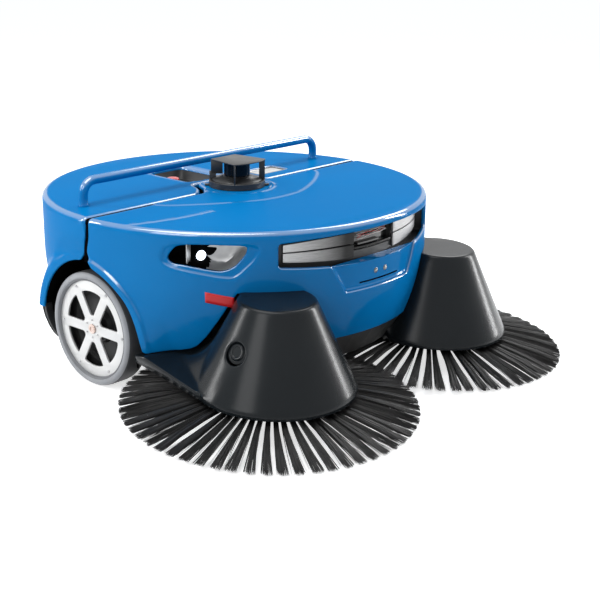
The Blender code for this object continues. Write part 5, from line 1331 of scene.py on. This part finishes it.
def cone_height(away):
    start = COVER_TOP - COVER_EDGE
    turn = start + COVER_EDGE * cos(CONE_LEAN)
    if away <= start:
        return COVER_HEIGHT
    if away <= turn:
        return COVER_HEIGHT - COVER_EDGE + (COVER_EDGE ** 2 - (away - start) ** 2) ** 0.5
    shoulder = COVER_HEIGHT - COVER_EDGE * (1 - sin(CONE_LEAN))
    share = (away - turn) / (COVER_RIM - turn)
    return shoulder + (COVER_BAND - shoulder) * share


def fairing_height(away):
    if away <= fairing_line[0][0]:
        return COVER_HEIGHT
    for (r0, h0), (r1, h1) in zip(fairing_line, fairing_line[1:]):
        if away <= r1:
            return h0 + (h1 - h0) * (away - r0) / (r1 - r0)
    return fairing_line[-1][1]


def cover_point(x, y):
    away = hypot(x, y)
    cone = cone_height(away) if away < COVER_RIM + 0.002 else -0.05
    slope = min(plate_rear(x, y), plate_side(x, y))
    arm = soft_max(-soft_max(-fairing_height(away), -fairing_side(x, y), 0.006), slope, 0.003)
    arm = soft_max(cone, arm, 0.003)
    share = 1.0
    if away < COVER_RIM + 0.002:
        share = smooth_step((y + 0.012) / 0.045)
    return Vector((x, y, COVER_BASE + cone + (arm - cone) * share))


def arm_line():
    """The arm's outline round its free sides, in the cover's own frame."""
    made = []
    for x, y in ARM_OUTLINE:
        p = cover_frame.inverted() @ Vector((x, y, 0.075))
        made.append((p.x, p.y))
    return rounded(made, 0.012, closed=False)


CAP_RADIUS, CAP_UP, CAP_ROLL, CAP_TURN = 0.0225, 0.1005, 0.0030, radians(-1)
# the cap's circle is laid on the leaning flank; its tilt is the sine of the cone's lean
CAP_TILT, CAP_POINTS = 0.4276, 44
cone_share = (CAP_UP - COVER_BAND) / (COVER_HEIGHT - COVER_BAND)
cap_away = COVER_RIM - (COVER_RIM - COVER_TOP) * cone_share


def cap_circle(radius):
    made = []
    for k in range(CAP_POINTS):
        t = 2 * pi * k / CAP_POINTS
        away = cap_away + radius * sin(t) * CAP_TILT
        turn = CAP_TURN + radius * cos(t) / cap_away
        made.append((away * cos(turn), away * sin(turn)))
    return made


def lower_foot(bm, edges, radius):
    """Round the free edge and bring it down to the cover's and the arm's underside."""
    def lowered(vert, away, _):
        co, r = vert.co.copy(), vert[radius]
        made = []
        for k in range(1, ROLL_TURNS + 1):
            turn = pi / 2 * k / ROLL_TURNS
            low = 0.0 if r else COVER_BAND * k / (ROLL_TURNS + 1)
            made.append(co + away * r * sin(turn) - Vector((0, 0, r * (1 - cos(turn)) + low)))
        under = arm_under(co.x, co.y) if r else 0.0
        return made + [Vector((co.x, co.y, COVER_BASE + under)) + away * r]

    extend_rim(bm, edges, ROLL_TURNS + 1, lowered, Vector((0, 0, 1)))


def mirror_left(bm, side):
    """Both sides are drawn for the right; the left takes the mirror image."""
    if side < 0:
        bmesh.ops.scale(bm, vec=(-1, 1, 1), verts=bm.verts)
        bmesh.ops.reverse_faces(bm, faces=bm.faces)
    return bm


def cover_grid():
    """Places on rings round the cone's axis, close together on its rounded shoulder."""
    made = []
    rings = [0.010, 0.022, 0.036, 0.050, 0.060] + [0.0655 + 0.0091 * k / 5 for k in range(6)]
    rings += [0.0746 + 0.0799 * k / 22 for k in range(1, 22)]
    rings += [COVER_RIM + 0.0045 * k for k in range(32)]
    for k, ring in enumerate(rings):
        count = 24 if ring < 0.03 else 160
        made += [(ring * cos(2 * pi * (i + 0.5 * (k % 2)) / count),
                  ring * sin(2 * pi * (i + 0.5 * (k % 2)) / count)) for i in range(count)]
    return made


def make_cover(side_name, side):
    line = [(x, y, ARM_EDGE) for x, y in resample(arm_line(), 0.005)]
    line = [p for p in shifted(line, -ARM_EDGE, closed=False)
            if hypot(p[0], p[1]) > COVER_RIM + 0.001]
    start, end = atan2(line[-1][1], line[-1][0]), atan2(line[0][1], line[0][0])
    sweep = 2 * pi - (start - end)
    front = [start + sweep * k / 130 for k in range(1, 130)]
    border = line + [(COVER_RIM * cos(turn), COVER_RIM * sin(turn), 0.0) for turn in front]
    hole = [(*p, CAP_ROLL) for p in cap_circle(CAP_RADIUS + CAP_ROLL)]
    bm, radius = moulded_skin(border, [hole], [], cover_point, cover_grid(), 0.0016)
    face_out(bm, upwards)
    cap_rim = [e for e in bm.edges if e.is_boundary and e.verts[0][radius] > 0.0
               and hypot(e.verts[0].co.x - cap_away, e.verts[0].co.y) < 0.04]
    lower_foot(bm, [e for e in bm.edges if e.is_boundary and e not in cap_rim], radius)
    roll_edges(bm, radius, cap_rim, flange=0.008)
    bmesh.ops.transform(bm, matrix=cover_frame, verts=bm.verts)
    piece(f"cover_shell_{side_name}", mirror_left(bm, side), cover_plastic, "chassis",
          [f"brush_cover_{side_name}"], skin=0.0025, soft_edge=50)


def make_cap(side_name, side):
    place = Vector((cap_away * cos(CAP_TURN), cap_away * sin(CAP_TURN), COVER_BASE + CAP_UP))
    pose = (cover_frame @ Matrix.Translation(place) @ Matrix.Rotation(CAP_TURN, 4, "Z")
            @ Matrix.Rotation(pi / 2 - CONE_LEAN, 4, "Y"))
    bm = turned([(0, -0.0062), (0.0095, -0.0062), (0.0105, -0.0052), (0.0120, -0.0044),
                 (0.0138, -0.0044), (0.0150, -0.0056), (0.0165, -0.0082), (0.0180, -0.0088),
                 (0.0216, -0.0088), (0.0216, -0.0110), (0, -0.0110)], CAP_POINTS, pose)
    piece(f"cover_plug_{side_name}", mirror_left(bm, side), cover_plastic, "chassis",
          [f"cover_cap_{side_name}"])


for side_name, side in SIDES:
    make_cover(side_name, side)
    make_cap(side_name, side)

# ------------------------------------------------------------------ side brushes
# Sixty bundles of stiff black nylon bristles stand out of a dark plate, splaying towards
# their ragged tips; they are bent a little by the floor.
nylon = plastic("bristle_nylon", (0.0030, 0.0030, 0.0033), (0.013, 0.0125, 0.0125),
                (0.34, 0.52), 0.0001, 2500, 90, spread=(0.32, 0.75), relief=0.3)
BUNDLES, BRISTLES, TIP_RADIUS, ROOT_RADIUS, ROOT_HEIGHT = 60, 96, 0.2826, 0.108, 0.0335
KINDS = 8


def make_bundle(dice):
    """One bundle of bristles running out along X from the brush axis."""
    bm = bmesh.new()
    bend, twist = dice.gauss(0, 0.0026), dice.uniform(0.85, 1.15)
    for k in range(BRISTLES):
        off = -1 + 2 * (k + dice.uniform(-0.9, 0.9)) / (BRISTLES - 1)
        up = dice.uniform(-1, 1) * (1 - 0.35 * off * off)
        reach = TIP_RADIUS - abs(dice.gauss(0, 0.0022))
        if dice.random() < 0.30:
            reach -= dice.uniform(0.004, 0.014)
        stray = dice.gauss(0, 0.0042 if dice.random() < 0.28 else 0.0010)
        tip_y = off * 0.0092 * twist + stray
        start = Vector((ROOT_RADIUS, off * 0.0036, ROOT_HEIGHT + up * 0.0042))
        tip = Vector((reach, tip_y, max(0.0009, 0.0040 + up * 0.0034)))
        made = bmesh.ops.create_circle(
            bm, segments=3, radius=dice.uniform(0.00058, 0.00074),
            matrix=Matrix.Translation(start) @ Matrix.Rotation(pi / 2, 4, "Y"))
        edges = list({e for v in made["verts"] for e in v.link_edges})
        centre = start
        for share in (0.36, 0.70, 1.0):
            spot = start.lerp(tip, share)
            spot.y = start.y + (tip.y - start.y) * share ** 1.7 + bend * sin(share * pi)
            spot.z += 0.0040 * sin(share * pi) * (0.6 + 0.4 * up)
            edges, verts = carry(bmesh.ops.extrude_edge_only(bm, edges=edges)["geom"])
            bmesh.ops.translate(bm, vec=spot - centre, verts=verts)
            centre = spot
        bmesh.ops.scale(bm, vec=(1, 0.5, 0.5), space=Matrix.Translation(-centre), verts=verts)
    mesh = bpy.data.meshes.new("bundle")
    bm.to_mesh(mesh)
    bm.free()
    return mesh


def make_brush(side_name, side, kinds):
    dice = Random(11 if side > 0 else 23)
    bm = bmesh.new()
    for k in range(BUNDLES):
        before = len(bm.verts)
        bm.from_mesh(kinds[dice.randrange(len(kinds))])
        bm.verts.ensure_lookup_table()
        turn = 2 * pi * (k + dice.uniform(-0.07, 0.07)) / BUNDLES
        flip = Matrix.Diagonal((1, dice.choice((-1, 1)), 1, 1))
        bmesh.ops.transform(bm, matrix=Matrix.Rotation(turn, 4, "Z") @ flip,
                            verts=bm.verts[before:])
    bmesh.ops.transform(bm, matrix=brush_frame, verts=bm.verts)
    if side < 0:
        bmesh.ops.scale(bm, vec=(-1, 1, 1), verts=bm.verts)
    for vert in bm.verts:
        vert.co.z = max(vert.co.z, 0.0004)
    piece(f"bristles_{side_name}", bm, nylon, f"side_brush_{side_name}",
          [f"brush_crown_{side_name}"], soft_edge=180)
    disc = turned([(0.0095, 0.030), (0.0560, 0.030), (0.0600, 0.0290), (0.1140, 0.0290),
                   (0.1170, 0.0320), (0.1170, 0.0480), (0.1150, 0.0500), (0.0260, 0.0520),
                   (0.0220, 0.0610), (0.0095, 0.0610), (0.0095, 0.030)], 64, brush_frame)
    piece(f"brush_disc_{side_name}", mirror_left(disc, side), black_plastic,
          f"side_brush_{side_name}", [f"brush_plate_{side_name}"])


bundles = [make_bundle(Random(40 + k)) for k in range(KINDS)]
for side_name, side in SIDES:
    make_brush(side_name, side, bundles)
for mesh in bundles:
    bpy.data.meshes.remove(mesh)

# ------------------------------------------------------------------ drive wheels
# A grey rubber tyre with a dark tread sits on a cast rim, closed by a machined disc with
# six windows, bolted at the rim and round the hub.
side_rubber = plastic("sidewall_rubber", (0.250, 0.258, 0.275), (0.310, 0.318, 0.335),
                      (0.48, 0.60), 0.00006, 1200, 14)
tread_rubber = plastic("tread_rubber", (0.040, 0.041, 0.044), (0.062, 0.063, 0.066),
                       (0.60, 0.74), 0.00012, 900, 14)
machined = plastic("machined_disc", (0.58, 0.58, 0.575), (0.64, 0.64, 0.635), (0.36, 0.46),
                   0.0001, 1500, 12, metallic=0.35, spread=(0.3, 0.7), relief=0.25)
# the rim is dark grey as painted shade for its inner wall round the disc
rim_grey_painted_shade = plastic("rim_grey_painted_shade", (0.11, 0.115, 0.125), (0.15, 0.155, 0.165), (0.42, 0.52), 0.00005,
                   900, 14, metallic=0.2)
bolt_steel = plastic("bolt_steel", (0.42, 0.42, 0.43), (0.58, 0.58, 0.59), (0.25, 0.38),
                     0.00003, 900, 60, metallic=0.9)
copper_hub = plastic("copper_hub", (0.48, 0.36, 0.31), (0.66, 0.55, 0.50), (0.25, 0.38),
                     0.00006, 700, 90, metallic=0.7)
WHEEL_FACE = BODY_RADIUS - 0.014
WHEEL_BACK = WHEEL_FACE - 0.052
PLATE_OUT = WHEEL_FACE - 0.0070
RIM_RADIUS = 0.1010
SPOKES = 6
WINDOW_INNER, WINDOW_OUTER, SPOKE_HALF = 0.0275, 0.0765, 0.0100


def flat_plate(outer, holes, thickness, edge):
    """A flat plate with openings, its front face at height 0 and its edges softened."""
    data = bpy.data.curves.new("plate", "CURVE")
    data.dimensions = "2D"
    data.fill_mode = "BOTH"
    data.extrude = thickness / 2 - edge
    data.bevel_depth = edge
    data.bevel_resolution = 1
    for outline, grow in [(outer, -edge)] + [(hole, edge) for hole in holes]:
        run = grown(outline, grow)
        spline = data.splines.new("POLY")
        spline.points.add(len(run) - 1)
        for point, (x, y) in zip(spline.points, run):
            point.co = (x, y, 0, 1)
        spline.use_cyclic_u = True
    holder = bpy.data.objects.new("plate", data)
    scene.collection.objects.link(holder)
    mesh = bpy.data.meshes.new_from_object(
        holder.evaluated_get(bpy.context.evaluated_depsgraph_get()))
    bm = bmesh.new()
    bm.from_mesh(mesh)
    bpy.data.objects.remove(holder)
    bpy.data.curves.remove(data)
    bpy.data.meshes.remove(mesh)
    bmesh.ops.remove_doubles(bm, verts=bm.verts, dist=1e-6)
    bmesh.ops.recalc_face_normals(bm, faces=bm.faces)
    bmesh.ops.translate(bm, vec=(0, 0, -thickness / 2), verts=bm.verts)
    return bm


def circle(radius, count):
    return [(radius * cos(2 * pi * k / count), radius * sin(2 * pi * k / count))
            for k in range(count)]


def wheel_pose(side):
    """Local X to the rear, local Y up, local Z out of the machine's side."""
    turn = Matrix(((0, 0, side, 0), (1, 0, 0, 0), (0, 1, 0, 0), (0, 0, 0, 1)))
    return Matrix.Translation((0, WHEEL_Y, WHEEL_Z)) @ turn


def window_outline(centre):
    """Opening between two spokes: sides parallel to the spokes, inner end pointed."""
    arc = [centre + t * (pi / 6 - SPOKE_HALF / WINDOW_OUTER) for t in (-1, -0.6, -0.2, 0.2, 0.6, 1)]
    made = [(WINDOW_OUTER * cos(a), WINDOW_OUTER * sin(a)) for a in arc]
    for t in (1, -1):
        turn = centre + t * (pi / 6 - SPOKE_HALF / WINDOW_INNER)
        made.append((WINDOW_INNER * cos(turn), WINDOW_INNER * sin(turn)))
    return made


def make_tyre(side_name, side, pose, body):
    face, back = WHEEL_FACE, WHEEL_BACK
    tyre = turned([(RIM_RADIUS + 0.0003, back), (0.1085, back), (0.1140, back + 0.0035),
                   (0.1149, back + 0.010), (0.1149, face - 0.012), (0.1146, face - 0.0080),
                   (0.1136, face - 0.0048), (0.1118, face - 0.0022), (0.1092, face - 0.0006),
                   (0.1072, face), (0.1040, face - 0.0001), (0.1024, face - 0.0005),
                   (RIM_RADIUS + 0.0003, face - 0.0016), (RIM_RADIUS + 0.0003, back)], 96, pose)
    for f in tyre.faces:
        place = pose.inverted() @ f.calc_center_median()
        f.material_index = 1 if place.z < face - 0.0052 else 0
    if side < 0:
        bmesh.ops.recalc_face_normals(tyre, faces=tyre.faces)
    piece(f"tyre_ring_{side_name}", tyre, [side_rubber, tread_rubber], body,
          [f"tyre_{side_name}"])


def make_plate(side_name, pose, body):
    windows = [rounded(window_outline(pi / 6 + k * pi / 3), 0.0045) for k in range(SPOKES)]
    disc = flat_plate(circle(RIM_RADIUS - 0.0032, 96), windows + [circle(0.0098, 28)], 0.004,
                      0.0005)
    bmesh.ops.translate(disc, vec=(0, 0, PLATE_OUT), verts=disc.verts)
    bmesh.ops.transform(disc, matrix=pose, verts=disc.verts)
    bmesh.ops.recalc_face_normals(disc, faces=disc.faces)
    piece(f"wheel_plate_{side_name}", disc, machined, body, [f"wheel_disc_{side_name}"],
          soft_edge=30)


def make_rim(side_name, pose, body):
    """The rim's ring, dark grey as painted shade on its inner wall, and the black web behind the
    disc.
    """
    face, back, plate = WHEEL_FACE, WHEEL_BACK, PLATE_OUT
    rim = turned([(RIM_RADIUS, face - 0.0012), (RIM_RADIUS, back + 0.002),
                  (RIM_RADIUS - 0.003, back + 0.002), (RIM_RADIUS - 0.0032, plate - 0.004),
                  (RIM_RADIUS - 0.0045, plate + 0.0004), (RIM_RADIUS - 0.0026, face - 0.0020),
                  (RIM_RADIUS - 0.0014, face - 0.0012), (RIM_RADIUS, face - 0.0012)], 96, pose)
    piece(f"rim_ring_{side_name}", rim, rim_grey_painted_shade, body, [f"wheel_disc_{side_name}"])
    web = turned([(0.0105, plate - 0.016), (0.030, plate - 0.016), (0.034, plate - 0.026),
                  (0.070, plate - 0.028), (0.074, plate - 0.020), (0.0925, plate - 0.020),
                  (0.0925, plate - 0.0315), (0.0105, plate - 0.0315),
                  (0.0105, plate - 0.016)], 60, pose)
    piece(f"wheel_web_{side_name}", web, black_plastic, body, [f"wheel_disc_{side_name}"])


def make_bolts(side_name, pose, body):
    """Six bolts at the rim, six small ones round the hub, and the hub's copper nut."""
    bolts = bmesh.new()
    for k in range(SPOKES):
        for away, size, turn in ((0.0890, 0.0030, k * pi / 3),
                                 (0.0180, 0.0018, pi / 6 + k * pi / 3)):
            at = Matrix.Translation((away * cos(turn), away * sin(turn), PLATE_OUT))
            add_to(bolts, turned([(0, 0.0010), (size * 0.45, 0.0010), (size * 0.5, 0.0018),
                                  (size * 0.85, 0.0018), (size, 0.0010), (size * 1.05, 0),
                                  (0, 0)], 14, pose @ at))
    bmesh.ops.recalc_face_normals(bolts, faces=bolts.faces)
    piece(f"wheel_bolts_{side_name}", bolts, bolt_steel, body, [f"wheel_disc_{side_name}"])
    hub = turned([(0, 0.0012), (0.0046, 0.0012), (0.0050, 0.0026), (0.0088, 0.0026),
                  (0.0096, 0.0018), (0.0096, -0.0040), (0, -0.0040)], 30,
                 pose @ Matrix.Translation((0, 0, PLATE_OUT)))
    piece(f"wheel_hub_{side_name}", hub, copper_hub, body, [f"wheel_disc_{side_name}"])


for side_name, side in SIDES:
    wheel = (side_name, wheel_pose(side), f"wheel_{side_name}")
    make_tyre(side_name, side, *wheel[1:])
    make_plate(*wheel)
    make_rim(*wheel)
    make_bolts(*wheel)

# ------------------------------------------------------------------ arch linings
# Behind each wheel a black lining runs under the flared lip, and a black foot carries the
# lip's line on down to the skirt.
EAR = [(0.1575, 0.1380), (0.1560, 0.1240), (0.1500, 0.1080), (0.1395, 0.0940), (0.1270, 0.0835),
       (0.1200, 0.0800), (0.1230, 0.0765), (0.1360, 0.0820), (0.1500, 0.0940), (0.1620, 0.1110),
       (0.1685, 0.1270), (0.1700, 0.1380)]
LINING_FOOT = [(0.1345, 0.0835), (0.1480, 0.0950), (0.1590, 0.1105)]
LINING_RADIUS = FLARE_RADIUS + 0.0045
# where the lining is high it keeps inside the body's wall
WALL_REACH, WALL_FROM = 0.396, 0.236


def make_lining(side_name, side):
    ear = loft([[(side * x, y, z) for y, z in EAR] for x in (FLARE_X - 0.004, FLARE_X - 0.020)])
    piece(f"skirt_ear_{side_name}", ear, black_plastic, "chassis", [f"arch_liner_{side_name}"],
          soft_edge=30)
    arc = LINING_FOOT + [(WHEEL_Y + LINING_RADIUS * cos(a), WHEEL_Z + LINING_RADIUS * sin(a))
                         for a in [radians(3 + 79 * k / 26) for k in range(27)]]

    def across(reach, y, z):
        if reach > 0.35 and z > WALL_FROM:
            return min(reach, (WALL_REACH ** 2 - min(y, 0.39) ** 2) ** 0.5)
        return reach

    lining = sheet([[(side * across(reach, y, z), y, z) for y, z in arc]
                    for reach in (FLARE_X - 0.0035, FLARE_X - 0.030, 0.330, 0.300)])
    piece(f"arch_lining_{side_name}", lining, dull_black_and_seam_shade, "chassis", [f"arch_liner_{side_name}"],
          skin=0.0012)


for side_name, side in SIDES:
    make_lining(side_name, side)

# ------------------------------------------------------------------ scanner
# A black drum stands on a cone inside a guard of upright blades, which carry a flat plate
# over it.  The guard's foot ring is screwed down at two ears.
GUARD_TOP = BODY_TOP + 0.0573
CONE_LOW, CONE_TOP = BODY_TOP + 0.0024, BODY_TOP + 0.024
BLADE_HALF, BLADE_EDGE = 0.0015, 0.0006
lens_black = plastic("lens_black", (0.003, 0.003, 0.0035), (0.006, 0.006, 0.007), (0.10, 0.16),
                     0.00001, 200, 40, specular=0.16)
satin_black = plastic("satin_black", (0.012, 0.0122, 0.0130), (0.020, 0.0203, 0.0210),
                      (0.30, 0.42), 0.00005, 1500, 20)


def soft_box(low, high):
    bm = bmesh.new()
    middle = [(a + b) / 2 for a, b in zip(low, high)]
    size = [b - a for a, b in zip(low, high)]
    bmesh.ops.create_cube(bm, size=1, matrix=Matrix.Translation(middle)
                          @ Matrix.Diagonal((*size, 1)))
    bmesh.ops.bevel(bm, geom=bm.edges[:], offset=BLADE_EDGE, segments=2, profile=0.5,
                    affect="EDGES", material=-1)
    return bm


def make_scanner():
    at = Matrix.Translation((0, SCANNER_Y, 0))
    low, cone_top = CONE_LOW, CONE_TOP
    base = turned([(0.0525, low), (0.0525, low + 0.0128), (0.0500, low + 0.0150),
                   (0.0330, cone_top - 0.0012), (0.0310, cone_top), (0.0255, cone_top),
                   (0.0255, cone_top - 0.002), (0, cone_top - 0.002)], 72, at)
    piece("scanner_cone", base, satin_black, "chassis", ["scanner_base"])
    drum = turned([(0, GUARD_TOP - 0.0034), (0.0262, GUARD_TOP - 0.0034),
                   (0.0272, GUARD_TOP - 0.0044), (0.0272, cone_top + 0.0020),
                   (0.0245, cone_top + 0.0012), (0.0245, cone_top - 0.0018),
                   (0, cone_top - 0.0018)], 64, at)
    piece("scanner_drum", drum, lens_black, "chassis", ["scanner_window"])
    guard = turned([(0.0590, low), (0.0590, low + 0.0116), (0.0580, low + 0.0128),
                    (0.0545, low + 0.0128), (0.0535, low + 0.0118), (0.0535, low),
                    (0.0590, low)], 72, at)
    outline = [(-0.036, 0.042), (-0.046, -0.037)]
    outline += [(-0.046 * cos(pi * k / 12), -0.037 - 0.012 * sin(pi * k / 12))
                for k in range(1, 12)]
    outline += [(0.046, -0.037), (0.036, 0.042)]
    plate = flat_plate(rounded(outline, 0.003, segments=3), [], 0.0025, 0.0005)
    bmesh.ops.transform(plate, matrix=at @ Matrix.Translation((0, 0, GUARD_TOP)),
                        verts=plate.verts)
    add_to(guard, plate)
    for side in (-1, 1):
        blade, post, root = (soft_box((near, -BLADE_HALF, foot), (far, BLADE_HALF, top))
                             for near, far, foot, top in (
                                 (0.0465, 0.0588, low + 0.001, GUARD_TOP - 0.0015),
                                 (0.0300, 0.0545, cone_top + 0.0022, GUARD_TOP - 0.0015),
                                 (0.0440, 0.0580, low + 0.001, cone_top + 0.008)))
        ear = flat_plate(rounded([(0.055, -0.007), (0.0675, -0.004), (0.0675, 0.004),
                                  (0.055, 0.007)], 0.002), [], 0.003, 0.0004)
        bmesh.ops.translate(ear, vec=(0, 0, low + 0.003), verts=ear.verts)
        for bar, turn in ((blade, -90 + side * 50), (post, 90 - side * 40),
                          (root, 90 - side * 40), (ear, -45 if side > 0 else 135)):
            bmesh.ops.transform(bar, verts=bar.verts,
                                matrix=at @ Matrix.Rotation(radians(turn), 4, "Z"))
            add_to(guard, bar)
    piece("scanner_cage", guard, satin_black, "chassis", ["scanner_guard"],
          soft_edge=30)


make_scanner()

# ------------------------------------------------------------------ chassis and inside
# Under the hoods lie the steel pan, its skirt and wheel linings, the roller brush, hopper,
# drives, batteries and the caster, mostly dark and plain.
pan_coat = plastic("pan_coat", (0.0030, 0.0031, 0.0033), (0.0055, 0.0057, 0.0060), (0.50, 0.64),
                   0.00008, 1100, 9)
zinc_plate = plastic("zinc_plate", (0.36, 0.36, 0.37), (0.50, 0.50, 0.51), (0.34, 0.48),
                     0.00005, 900, 20, metallic=0.85)
motor_cast = plastic("motor_cast", (0.050, 0.051, 0.053), (0.085, 0.086, 0.088), (0.42, 0.56),
                     0.00012, 700, 20, metallic=0.4)
hopper_plastic = plastic("hopper_plastic", (0.080, 0.082, 0.085), (0.115, 0.118, 0.121),
                         (0.46, 0.60), 0.00008, 1000, 9)
filter_fleece = plastic("filter_fleece", (0.46, 0.45, 0.41), (0.62, 0.61, 0.57), (0.80, 0.92),
                        0.00030, 1500, 30)
battery_wrap = plastic("battery_wrap", (0.030, 0.032, 0.036), (0.050, 0.052, 0.056),
                       (0.36, 0.50), 0.00005, 900, 12)
dark_rubber = plastic("dark_rubber", (0.014, 0.014, 0.0145), (0.026, 0.026, 0.027),
                      (0.62, 0.78), 0.00015, 900, 14)
finishes = {
    "black_plastic": ("rear_skirt", "arch_liner_left", "arch_liner_right", "control_box",
                      "suction_fan"),
    "pan_coat": ("chassis_tray",),
    "zinc_plate": ("caster_fork", "caster_mount", "hinge_bracket_left", "hinge_bracket_right",
                   "hinge_leaf_left", "hinge_leaf_right", "motor_pulley"),
    "motor_cast": ("brush_motor_left", "brush_motor_right", "drive_motor_left",
                   "drive_motor_right", "roller_motor"),
    "hopper_plastic": ("hopper",),
    "filter_fleece": ("hopper_filter",),
    "battery_wrap": ("battery_left", "battery_right"),
    "dark_rubber": ("caster_wheel", "drive_belt"),
    "bristle_nylon": ("roller_brush",),
}
for finish, names in finishes.items():
    for name in names:
        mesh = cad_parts[name].data
        mesh.materials.clear()
        mesh.materials.append(bpy.data.materials[finish])
